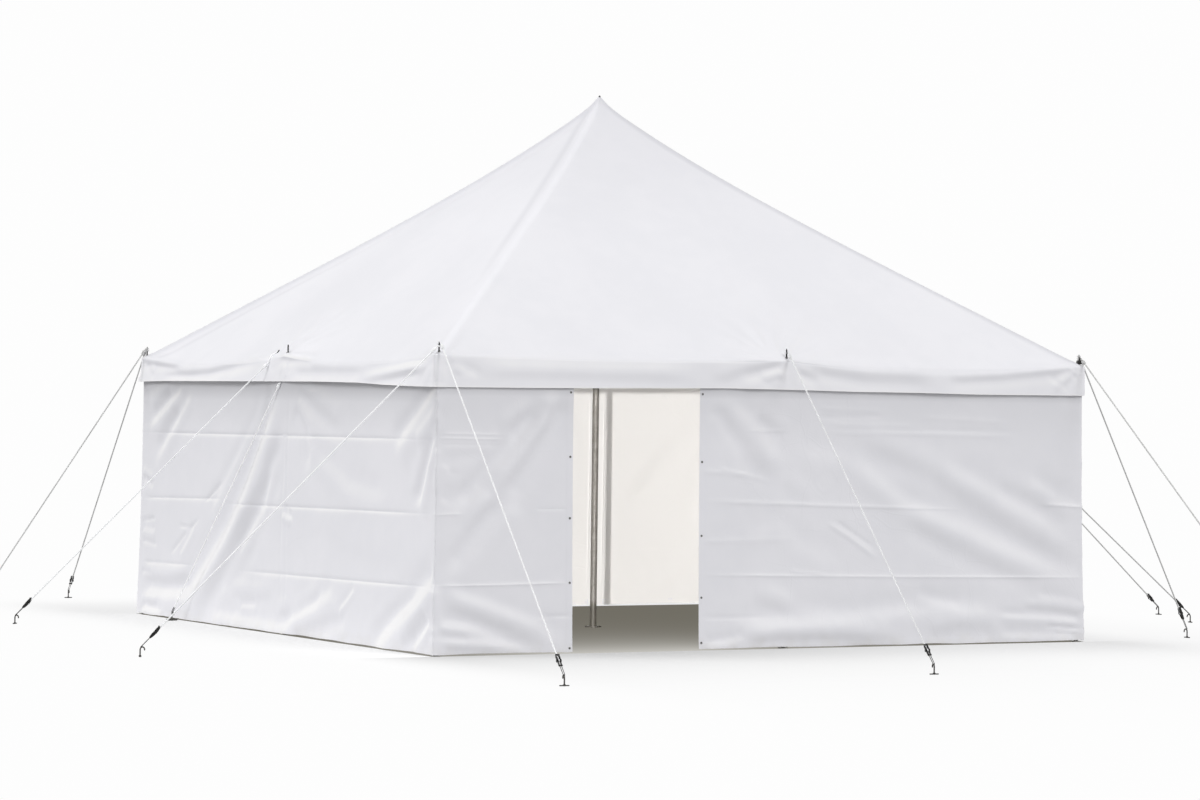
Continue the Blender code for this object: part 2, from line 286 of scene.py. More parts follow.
def sheetGrainGroup():  # coated cloth: a fine orange peel, and slow drifts in its tone
    group, given, result = shaderGroup("sheetGrain", ("Height", "Tone"), Thread=140.0)
    vector = given["Vector"]
    drift = mathNode(group, "MULTIPLY", noiseNode(group, vector, 1.3, 3.0), 0.65)
    tone = mathNode(group, "MULTIPLY_ADD", noiseNode(group, vector, 7.0, 3.0), 0.35, drift)
    return putOut(group, result, Height=noiseNode(group, vector, given["Thread"]), Tone=tone)


def groundDustGroup():  # splash and dust that fade out above the ground
    group, given, result = shaderGroup("groundDust", ("Mask",), Reach=0.10)
    z = addNode(group, "ShaderNodeSeparateXYZ", Vector=given["Vector"]).outputs["Z"]
    fade = mathNode(group, "SUBTRACT", 1.0, mathNode(group, "DIVIDE", z, given["Reach"]))
    spots = rangeNode(group, noiseNode(group, given["Vector"], 9.0, 4.0), 0.35, 0.75)
    return putOut(group, result, Mask=mathNode(group, "MULTIPLY", mathNode(group, "MAXIMUM", fade, 0.0), spots))


def wornMetalGroup():  # dull patches and fine streaks in a metal's tone
    group, given, result = shaderGroup("wornMetal", ("Tone", "Height"), Scale=30.0)
    patches = noiseNode(group, given["Vector"], given["Scale"], 5.0, Roughness=0.65)
    stretch = addNode(group, "ShaderNodeMapping", Vector=given["Vector"], Scale=(160.0, 160.0, 6.0))
    streaks = noiseNode(group, stretch.outputs[0], 1.0)
    tone = mathNode(group, "MULTIPLY_ADD", streaks, 0.4, mathNode(group, "MULTIPLY", patches, 0.6))
    return putOut(group, result, Tone=tone, Height=streaks)


packedCreases, sheetGrain = packedCreasesGroup(), sheetGrainGroup()
groundDust, wornMetal = groundDustGroup(), wornMetalGroup()


def useGroup(tree, group, vector, **values):
    return addNode(tree, "ShaderNodeGroup", node_tree=group, Vector=vector, **values).outputs


def newMaterial(name, roughness, metallic=0.0, specular=0.5):
    made = bpy.data.materials.new(name)
    made.use_nodes = True
    tree = made.node_tree
    shader = tree.nodes["Principled BSDF"].inputs
    for key, value in (("Roughness", roughness), ("Metallic", metallic), ("Specular IOR Level", specular)):
        shader[key].default_value = value
    return made, tree, shader, addNode(tree, "ShaderNodeTexCoord").outputs["Object"]


def bumpOn(tree, shader, height, strength, distance):
    bump = addNode(tree, "ShaderNodeBump", Strength=strength, Distance=distance, Height=height)
    tree.links.new(bump.outputs["Normal"], shader["Normal"])


# ---- looks and materials ----

pvcLook = {
    "white": (0.806, 0.803, 0.841), "shaded": (0.788, 0.787, 0.826), "inside": (0.86, 0.848, 0.830),
    "dust": (0.62, 0.60, 0.55), "dustShare": 0.35, "crease": (0.74, 0.74, 0.78), "creaseTone": 0.15, "roughness": 0.46,
    "creaseScale": 2.4, "creaseDepth": 0.0006, "grain": 140.0, "grainDepth": 0.00025,
    "topShade": 0.15, "topReach": (1.30, 1.74), "topTone": (0.40, 0.40, 0.42), "hemShade": (0.20, 1.668, 1.735),
    "peakShade": 0.0, "peakReach": (2.7, 3.8),
    "leanBright": 0.16, "leanDark": 0.0, "bright": (0.985, 0.975, 0.955), "cool": (0.45, 0.45, 0.50),
}


def pvcMaterial(name, look, dustReach=0.10, creaseShare=1.0):
    made, tree, shader, place = newMaterial(name, look["roughness"], specular=0.35)
    grain = useGroup(tree, sheetGrain, place, Thread=look["grain"])
    net = useGroup(tree, packedCreases, place, Scale=look["creaseScale"], Width=0.020)
    finer = useGroup(tree, packedCreases, place, Scale=look["creaseScale"] * 2.7, Width=0.045)
    dust = useGroup(tree, groundDust, place, Reach=dustReach)
    colour = mixColours(tree, rangeNode(tree, grain["Tone"], 0.38, 0.62), look["shaded"], look["white"])
    # painted highlight and painted shade: flanks that lean to the daylight are drawn lighter and warm, and those that
    # lean away darker and cool
    lean = addNode(tree, "ShaderNodeAttribute", attribute_name="lean").outputs["Fac"]
    z = addNode(tree, "ShaderNodeSeparateXYZ", Vector=place).outputs["Z"]
    layers = [
        # painted shade: the net of fine creases is drawn darker
        (mathNode(tree, "MULTIPLY", net["Mask"], look["creaseTone"] * creaseShare), look["crease"]),
        (mathNode(tree, "MULTIPLY", dust["Mask"], look["dustShare"]), look["dust"]),
        (rangeNode(tree, lean, 0.02, 0.34, 0.0, look["leanBright"], smooth=False), look["bright"]),
        (rangeNode(tree, lean, -0.34, -0.02, look["leanDark"], 0.0, smooth=False), look["cool"]),
    ]
    if look["topShade"]:  # painted shade: the cloth is drawn darker where it hangs behind the valance, most right below its hem
        strength, low, high = look["hemShade"]
        layers.append((rangeNode(tree, z, *look["topReach"], 0.0, look["topShade"]), look["topTone"]))
        layers.append((rangeNode(tree, z, low, high, 0.0, strength, smooth=False), (0.0, 0.0, 0.0)))
    # painted shade: the roof is drawn darker towards its peak
    if look["peakShade"]:
        layers.append((rangeNode(tree, z, *look["peakReach"], 0.0, look["peakShade"]), look["cool"]))
    for share, paint in layers:
        colour = mixColours(tree, share, colour, paint)
    behind = addNode(tree, "ShaderNodeNewGeometry").outputs["Backfacing"]
    tree.links.new(mixColours(tree, behind, colour, look["inside"]), shader["Base Color"])
    sheen = rangeNode(tree, grain["Tone"], 0.3, 0.7, look["roughness"] - 0.06, look["roughness"] + 0.08)
    tree.links.new(sheen, shader["Roughness"])
    depth = look["creaseDepth"]
    height = mathNode(tree, "MULTIPLY", net["Height"], depth * creaseShare)
    height = mathNode(tree, "MULTIPLY_ADD", finer["Height"], depth * 0.4 * creaseShare, height)
    height = mathNode(tree, "MULTIPLY_ADD", grain["Height"], look["grainDepth"], height)
    bumpOn(tree, shader, height, 0.7, 1.0)
    return made


ropeLook = {"fibre": 900.0, "stains": 5.0, "roughness": 0.85, "glowColour": (0.95, 0.97, 1.0, 1.0)}


def ropeMaterial(name, light, dark, glow, look=ropeLook):
    made, tree, shader, place = newMaterial(name, look["roughness"], specular=0.2)
    fibre = noiseNode(tree, place, look["fibre"])
    stains = mathNode(tree, "MULTIPLY", noiseNode(tree, place, look["stains"], 3.0), 0.5)
    tone = rangeNode(tree, mathNode(tree, "MULTIPLY_ADD", fibre, 0.5, stains), 0.35, 0.62)
    tree.links.new(mixColours(tree, tone, dark, light), shader["Base Color"])
    bumpOn(tree, shader, fibre, 0.5, 0.0005)
    shader["Emission Color"].default_value = look["glowColour"]
    shader["Emission Strength"].default_value = glow  # painted light: the fibre glows a little, so it reads lighter than the sheet behind it
    return made


metalLook = {"spike": (0.02, 0.02, 0.022), "mud": (0.12, 0.11, 0.09), "mudShare": 0.95, "mudFade": 0.06}


def metalMaterial(name, dark, light, roughness, metallic, scale=30.0, spikeAbove=None, shadeBelow=None, look=metalLook):
    made, tree, shader, place = newMaterial(name, roughness, metallic)
    worn = useGroup(tree, wornMetal, place, Scale=scale)
    colour = mixColours(tree, rangeNode(tree, worn["Tone"], 0.36, 0.64), dark, light)
    if spikeAbove is not None:  # the bare spike above this height is blackened steel
        z = addNode(tree, "ShaderNodeSeparateXYZ", Vector=place).outputs["Z"]
        colour = mixColours(tree, mathNode(tree, "GREATER_THAN", z, spikeAbove), colour, look["spike"])
    if shadeBelow is not None:  # painted shade at the foot, dark like the shaded ground inside
        footShading = mathNode(tree, "MULTIPLY_ADD", worn["Tone"], -0.08, z)
        footShading = rangeNode(tree, footShading, shadeBelow - look["mudFade"], shadeBelow, look["mudShare"], 0.0)
        colour = mixColours(tree, footShading, colour, look["mud"])
    tree.links.new(colour, shader["Base Color"])
    polish = rangeNode(tree, worn["Tone"], 0.3, 0.7, roughness + 0.12, roughness - 0.10)
    tree.links.new(polish, shader["Roughness"])
    bumpOn(tree, shader, worn["Height"], 0.35, 0.0006)
    return made


# lit and shaded copies of the one sheet: the roof is drawn lighter as painted light, the left panel and the panel at
# the door end darker as painted shade
roofLook = {
    **pvcLook, "white": (0.850, 0.847, 0.881), "shaded": (0.830, 0.829, 0.865), "crease": (0.79, 0.79, 0.83),
    "topShade": 0.0, "peakShade": 0.12, "leanBright": 0.45, "leanDark": 0.29,
}
leftLook = {
    **pvcLook, "white": (0.792, 0.789, 0.826), "shaded": (0.774, 0.773, 0.811), "topShade": 0.27,
    "hemShade": (0.29, 1.620, 1.757), "leanBright": 0.52, "leanDark": 0.12,
}
doorLook = {**pvcLook, "white": (0.784, 0.781, 0.818), "shaded": (0.766, 0.765, 0.803)}
roofSheet = pvcMaterial("roofSheet", roofLook, dustReach=0.01, creaseShare=0.5)
panelLooks = {"wall_left": leftLook, "wall_front_left": doorLook}  # the other panels keep the plain look
wallSheet, hemSheet = pvcMaterial("wallSheet", pvcLook), pvcMaterial("wallHem", pvcLook, creaseShare=0.5)
panelSheets = {name: pvcMaterial(name + "Sheet", look) for name, look in panelLooks.items()}
panelHems = {name: pvcMaterial(name + "Hem", look, creaseShare=0.5) for name, look in panelLooks.items()}
roofHemSheet = pvcMaterial("valanceHem", roofLook, dustReach=0.01, creaseShare=0.3)
ropeTints = {  # copies of one white rope, each with its fibre's light and dark tone and how much it glows: the darker copies are painted shade, and the glow is painted light
    "guyRopeFibre": ((0.97, 0.975, 0.985), (0.88, 0.885, 0.895), 0.07),
    "guyRopeBleached": ((0.97, 0.975, 0.985), (0.88, 0.885, 0.895), 0.13),
    "guyRopeDulled": ((0.87, 0.875, 0.885), (0.77, 0.775, 0.785), 0.0),
    "guyRopeSoft": ((0.94, 0.945, 0.955), (0.86, 0.865, 0.875), 0.015),
    "guyRopeGreyed": ((0.66, 0.66, 0.655), (0.55, 0.55, 0.545), 0.0),
}
ropeFibre, brightRopeFibre, shadedRopeFibre, softRopeFibre, shadedGreyRopeFibre = [
    ropeMaterial(name, *tint) for name, tint in ropeTints.items()
]
poleSteel = metalMaterial("sidePoleSteel", (0.33, 0.32, 0.30), (0.50, 0.49, 0.47), 0.38, 0.75, spikeAbove=1.9295)
centreSteel = metalMaterial("centrePoleSteel", (0.215, 0.200, 0.180), (0.300, 0.283, 0.258), 0.50, 0.10, 24.0,
                            spikeAbove=3.765, shadeBelow=0.16)
blackSteel = metalMaterial("blackedSteel", (0.012, 0.012, 0.013), (0.055, 0.053, 0.050), 0.42, 0.6, 60.0)
pegSteel = metalMaterial("pegSteel", (0.035, 0.034, 0.032), (0.13, 0.125, 0.115), 0.45, 0.5, 60.0)
eyeletSteel = metalMaterial("eyeletSteel", (0.10, 0.10, 0.10), (0.26, 0.255, 0.24), 0.35, 0.8, 200.0)
print("scene: materials ready")


# ---- canopy: one sheet over the poles, rolled over the eave and down to its hem ----

canopySizes = {
    "seed": 11, "hipRound": 0.045, "cornerRound": 0.012, "topHalf": 0.009, "capRise": 0.020,
    "roofSlope": math.radians(34.3), "valanceStandOff": 0.004, "hemStandOff": 0.010, "shoulder": 0.007,
    "shoulderBay": 0.036, "leftFlare": 0.020, "poleFan": 0.0018, "peakFan": 0.0045, "crumple": 0.0034,
    "looseCorner": 3, "looseOut": 0.034, "weldReach": 0.0002, "frontColumns": 226, "rearColumns": 132,
    "arcColumns": 4, "roofRows": 74, "shoulderRows": 9, "valanceRows": 17,
}

# Folds near the eave, on (place along the side, height on the unrolled sheet)
eaveFolds = {
    "front": [
        (-4, 14, 1.0, [(-2.44, 1.925), (-1.27, 1.926), (-0.66, 1.922), (0.02, 1.924)]),
        (5, 40, 1.0, [(-2.3, 1.885), (-1.27, 1.88), (-0.5, 1.885)]),
        (-2, 40, 1.0, [(-2.2, 1.815), (-1.2, 1.805), (-0.55, 1.80)]),
        (-5.5, 30, 1.6, [(0.09, 1.918), (-0.28, 1.851), (-0.52, 1.762)]),
        (3.5, 28, 1.5, [(0.12, 1.886), (-0.10, 1.83), (-0.28, 1.775)]), (-5, 23, 1.2, [(0.05, 1.84), (-0.12, 1.787)]),
        (-9, 34, 1.9, [(0.15, 1.913), (0.41, 1.855), (0.72, 1.822), (1.34, 1.817)]),
        (-5, 24, 1.2, [(0.17, 1.862), (0.36, 1.804)]), (2, 34, 1.3, [(0.25, 1.84), (0.75, 1.775), (1.3, 1.765)]),
        (-6, 32, 1.0, [(1.34, 1.817), (1.84, 1.845), (2.3, 1.893), (2.46, 1.915)]),
        (-3, 23, 1.3, [(2.46, 1.896), (2.32, 1.788)]), (3, 23, 1.3, [(2.43, 1.890), (2.25, 1.786)]),
        (-4, 23, 1.3, [(-2.46, 1.90), (-2.36, 1.79)]), (4, 23, 1.3, [(-2.44, 1.88), (-2.22, 1.78)]),
    ],
    "left": [
        (-7, 23, 1.0, [(-2.66, 1.915), (-2.3, 1.893), (-2.0, 1.872), (-1.7, 1.858)]),
        (-6, 24, 1.2, [(-2.2, 1.815), (-1.6, 1.812), (-1.22, 1.824), (-0.9, 1.862), (-0.68, 1.888), (-0.3, 1.912),
         (0.0, 1.93)]),
        (5, 34, 1.3, [(-2.1, 1.77), (-1.5, 1.765), (-0.8, 1.80), (-0.3, 1.86)]),
        (-8, 25, 1.0, [(0.02, 1.930), (0.35, 1.918), (0.65, 1.905)]),
        (-3, 30, 1.2, [(0.15, 1.845), (0.9, 1.835), (1.4, 1.836), (1.8, 1.858), (2.2, 1.880)]),
        (4, 34, 1.2, [(0.2, 1.775), (1.3, 1.770), (1.9, 1.775)]),
        (9, 26, 1.3, [(2.45, 1.885), (1.95, 1.842), (1.40, 1.800)]),
        (-9, 28, 1.4, [(2.35, 1.840), (1.8, 1.798), (1.30, 1.758)]), (3, 24, 1.2, [(0.10, 1.89), (-0.10, 1.80)]),
        (-2, 24, 1.2, [(0.16, 1.88), (0.20, 1.79)]), (-4, 24, 1.4, [(-2.44, 1.90), (-2.25, 1.80)]),
    ],
}


def inward(pole, dice):  # which way a drape runs from a pole: into the side, or either way from its middle
    return 1 if pole < -1 else -1 if pole > 1 else dice.choice((-1, 1))


def dealtEaveFolds(seed, middle):  # the unseen sides get the same kinds of fold, dealt from a seed
    dice = np.random.default_rng(seed)
    folds = []
    for low, high in ((-2.46, middle - 0.04), (middle + 0.04, 2.46)):
        span, depth = high - low, dice.uniform(0.05, 0.09)
        lines = [[(low + span * s, top - depth * 4 * s * (1 - s)) for s in shares]
                 for top, shares in ((1.925, (0.02, 0.25, 0.5, 0.75, 0.98)), (1.868, (0.15, 0.5, 0.85)))]
        folds += [(-dice.uniform(6, 8), 28, 1.2, lines[0]), (5, 32, 1.2, lines[1])]
    for pole in (-2.47, middle, middle, 2.47):
        lean = dice.uniform(0.12, 0.35) * inward(pole, dice)
        size, foot = -dice.uniform(4, 8), dice.uniform(1.76, 1.80)
        folds.append((size, 24, 1.6, [(pole + lean * 0.1, 1.90), (pole + lean, foot)]))
        folds.append((dice.uniform(4, 7), 24, 1.5, [(pole + lean * 0.3, 1.89), (pole + lean * 1.5, 1.78)]))
    return folds


for side, seed in (("right", 41), ("back", 42)):
    eaveFolds[side] = dealtEaveFolds(seed, sides[side]["middle"])


def roofHeight(share, sagHere):
    hollow = plan["hollow"] * (1 - share) * (1 - (1 - share) ** 4)
    return plan["peakZ"] - (plan["peakZ"] - eaveZ) * (share + hollow) - sagHere * share**6


def eaveHeight(side, u):
    return eaveZ - plan["eaveSag"] * bayShare(side, u)


def hemHeight(side, u):
    return plan["hemZ"] + np.interp(u, *zip(*hemRises[side]))


def cornerCrinkle(corner, down):  # both sides of a corner use this same small movement
    crease = 0.0030 * softNoise(down * 11 + corner * 5.3, down * 0 + corner * 2.7, 77) * smoothStep(0.02, 0.12, down)
    return crease + 0.0018 * softNoise(down * 34, down * 0 + corner, 78) * smoothStep(0.01, 0.05, down)


def radiatingFolds(du, down, count, phase, height, reach):  # shallow creases that fan out from a pole
    angle = np.arctan2(du, down)
    distance = np.hypot(du, down)
    window = smoothStep(0.03, 0.16, distance) * np.exp(-distance / reach)
    return height * np.cos(count * angle + phase) * window


def canopyAmount(side, u, down, share):  # movement out of the plain surface; down is the way along the cloth
    middle, number, seed = sides[side]["middle"], sides[side]["corner"], canopySizes["seed"]
    gain = foldGains[side][2]
    amount = foldField(u, eaveHeight(side, u) - down, eaveFolds[side], sideLight[side], gain, gain)
    amount = amount * smoothStep(0.86, 0.95, share)
    for pole, phase in ((-2.5, 0.4), (middle, 1.3), (2.5, 2.2)):
        fan = radiatingFolds(u * share - pole, down, 9, phase + number, canopySizes["poleFan"], 0.55)
        amount += fan * smoothStep(0.1, 0.4, share)
    top = (1 - share) * eaveOut / math.cos(canopySizes["roofSlope"])
    amount += radiatingFolds(u * share, top, 16, 0.7 * number, canopySizes["peakFan"], 0.50) * (down < 0)
    amount += 0.0035 * softNoise(u * share * 1.6 + 9, down * 1.4 + number * 7, seed)
    amount += 0.0007 * softNoise(u * share * 9, down * 8 + number * 3, seed + 1)
    near = (eaveOut - np.abs(u)) * share
    crumple = canopySizes["crumple"] * softNoise(u * 21, down * 21 + number * 3, seed + 2) * np.exp(-near / 0.11)
    amount += crumple * smoothStep(-0.02, 0.03, down)
    if side == "left":  # the cloth rolls up to the far hip, with a slack line beside it
        farHip = (eaveOut + u) * share
        roll = 0.013 * hill(farHip, 0, 0.075) - 0.006 * hill(farHip, 0.19, 0.07)
        amount += roll * smoothStep(0.03, 0.12, top) * (down < 0)
    edge = smoothStep(0.0, 0.06, near)
    corner = (number + (u > 0)) % 4
    amount = amount * edge + (1 - edge) * cornerCrinkle(corner, np.maximum(down, 0))
    loose = canopySizes["looseOut"] * np.clip(down / 0.2, 0, 1.2) ** 2 * np.exp(-near / 0.10)
    amount += np.where(corner == canopySizes["looseCorner"], loose, 0)
    # below the eave the cloth can't pass far behind a pole
    atPole = smoothStep(0.07, 0.03, np.minimum(np.abs(u - middle), eaveOut - np.abs(u)))
    return np.where((down > 0) & (amount < -0.010), amount * (1 - atPole) - 0.010 * atPole, amount)


def canopySurface(side, u, down, bend, lift=0.0):
    # u: along the full eave; down: along the cloth from the eave line, negative up the roof;
    # bend: 0 on the straight part, up to 45 degrees round the corner at either end
    sizes = canopySizes
    bay, slope = bayShare(side, u), sizes["roofSlope"]
    soft = sizes["shoulder"] + sizes["shoulderBay"] * bay
    sagHere = plan["eaveSag"] * bay
    rise = np.maximum(-down, 0) * math.cos(slope)
    share = np.clip((eaveOut - rise) / eaveOut, 0, 1)
    out, z = eaveOut * share, roofHeight(share, sagHere)
    fall, cornerZ = np.maximum(down, 0), eaveHeight(side, u)
    z = np.where(down > 0, cornerZ - fall, z)
    # the rolled shoulder is a quadratic curve between the slope and the valance
    way = np.clip((down + soft) / (2 * soft), 0, 1)
    inside = np.abs(down) < soft
    startShare = (eaveOut - soft * math.cos(slope)) / eaveOut
    startZ = roofHeight(startShare, sagHere)
    curveOut = (1 - way) ** 2 * eaveOut * startShare + (1 - (1 - way) ** 2) * eaveOut
    curveZ = (1 - way) ** 2 * startZ + 2 * way * (1 - way) * cornerZ + way**2 * (cornerZ - soft)
    out, z = np.where(inside, curveOut, out), np.where(inside, curveZ, z)
    drop = np.clip(fall / (cornerZ - hemHeight(side, u)), 0, 1)
    standOff = sizes["valanceStandOff"] * smoothStep(-0.15, 0.02, down) + sizes["hemStandOff"] * bay * drop
    if side == "left":
        standOff = standOff + sizes["leftFlare"] * np.sqrt(bay) * drop**2
    z = z + sizes["capRise"] * hill(out, 0, 0.022)
    steep = slope + (math.pi / 2 - slope) * smoothStep(-1, 1, down / soft)
    amount = lift + canopyAmount(side, u, down, share)
    hip, tip = sizes["hipRound"], sizes["cornerRound"]
    byEave = tip + (hip - tip) * smoothStep(0.0, 0.03, 1 - share)
    roundness = np.minimum(np.where(share < 0.97, hip, byEave), 0.35 * out)
    turn = np.abs(bend)
    straight = np.clip(u / eaveOut, -1, 1) * (out - roundness)
    across = np.where(turn > 0, np.sign(bend) * (out - roundness + roundness * np.sin(turn)), straight)
    outward = out - roundness + roundness * np.cos(turn)
    push = standOff + amount * np.sin(steep)
    across, outward = across + push * np.sin(bend), outward + push * np.cos(bend)
    return worldPoints(side, across, outward, z + amount * np.cos(steep))


def canopyLean(side, u, down):
    share = np.clip(1 + np.minimum(down, 0) * math.cos(canopySizes["roofSlope"]) / eaveOut, 0, 1)
    lean = leanToLight(side, u * share, -down, canopyAmount(side, u, down, share), np.where(down > 0, 1.0, -0.6))
    first, last = (eaveOut + u) * share, (eaveOut - u) * share
    shade = 0 * u  # painted shade where the cloth turns over a hip
    if side == "left":
        shade = 0.50 * hill(first, 0, 0.10) + 0.20 * hill(first, 0.26, 0.06) * smoothStep(0.35, 0.8, share)
        shade = shade + 0.24 * hill(last, 0.11, 0.06) * smoothStep(0.80, 0.45, share)
    elif side == "front":
        shade = 0.36 * hill(last, 0, 0.045)
    return lean - shade * smoothStep(0.0, -0.05, down)


def spacedColumns(count, reach, edgeShare=0.35):  # even spacing, drawn closer towards both ends
    even = np.linspace(-1, 1, count)
    return reach * ((1 - edgeShare) * even + edgeShare * np.sin(even * math.pi / 2))


def canopyRows(side, u):  # rows up the roof, round the shoulder and down the valance
    sizes = canopySizes
    soft = sizes["shoulder"] + sizes["shoulderBay"] * bayShare(side, u)
    top = -(eaveOut - sizes["topHalf"]) / math.cos(sizes["roofSlope"])
    rows = []
    for step in range(sizes["roofRows"]):
        way = (1 - step / sizes["roofRows"]) ** 1.35
        rows.append(top * way - soft * (1 - way))
    rows += [soft * (2 * step / sizes["shoulderRows"] - 1) for step in range(sizes["shoulderRows"])]
    hem = eaveHeight(side, u) - hemHeight(side, u)
    rows += [soft + (hem - soft) * step / sizes["valanceRows"] for step in range(sizes["valanceRows"] + 1)]
    return np.array(rows)


def buildCanopy(sizes):
    points, faces, uvs, leans, start = [], [], [], [], 0
    for side in sides:
        count = sizes["frontColumns"] if side in ("front", "left") else sizes["rearColumns"]
        u, bend = roundCorners(spacedColumns(count, eaveOut), sizes["arcColumns"])
        down = canopyRows(side, u)
        u, bend = np.broadcast_to(u, down.shape), np.broadcast_to(bend, down.shape)
        points.append(canopySurface(side, u, down, bend).reshape(-1, 3))
        leans.append(canopyLean(side, u, down).ravel())
        faces.append(gridFaces(*down.shape, start, flip=True))
        uvs.append(np.stack([u + 6 * sides[side]["corner"], -down], -1).reshape(-1, 2))
        start += down.size
    points, faces, uvs, leans = [np.concatenate(grids) for grids in (points, faces, uvs, leans)]
    return addMesh("canopy", points, faces, roofSheet, uvs, lean=leans)


def weldSeams(work):  # joins the sides where their edges meet
    edge = [vertex for vertex in work.verts if vertex.is_boundary]
    bmesh.ops.remove_doubles(work, verts=edge, dist=canopySizes["weldReach"])


canopy = buildCanopy(canopySizes)
changeMesh(canopy, weldSeams)
print("scene: canopy has", len(canopy.data.polygons), "faces")


# ---- walls: five hung panels that share their corners ----

wallSizes = {
    "seed": 23, "cornerRound": 0.010, "creaseHeights": (0.445, 0.91, 1.40), "fineStep": 0.0055, "doorStep": 0.011,
    "seenStep": 0.0150, "unseenStep": 0.024, "arcColumns": 4, "flare": 2.2, "topDrop": 0.030, "valanceHem": 1.66,
}

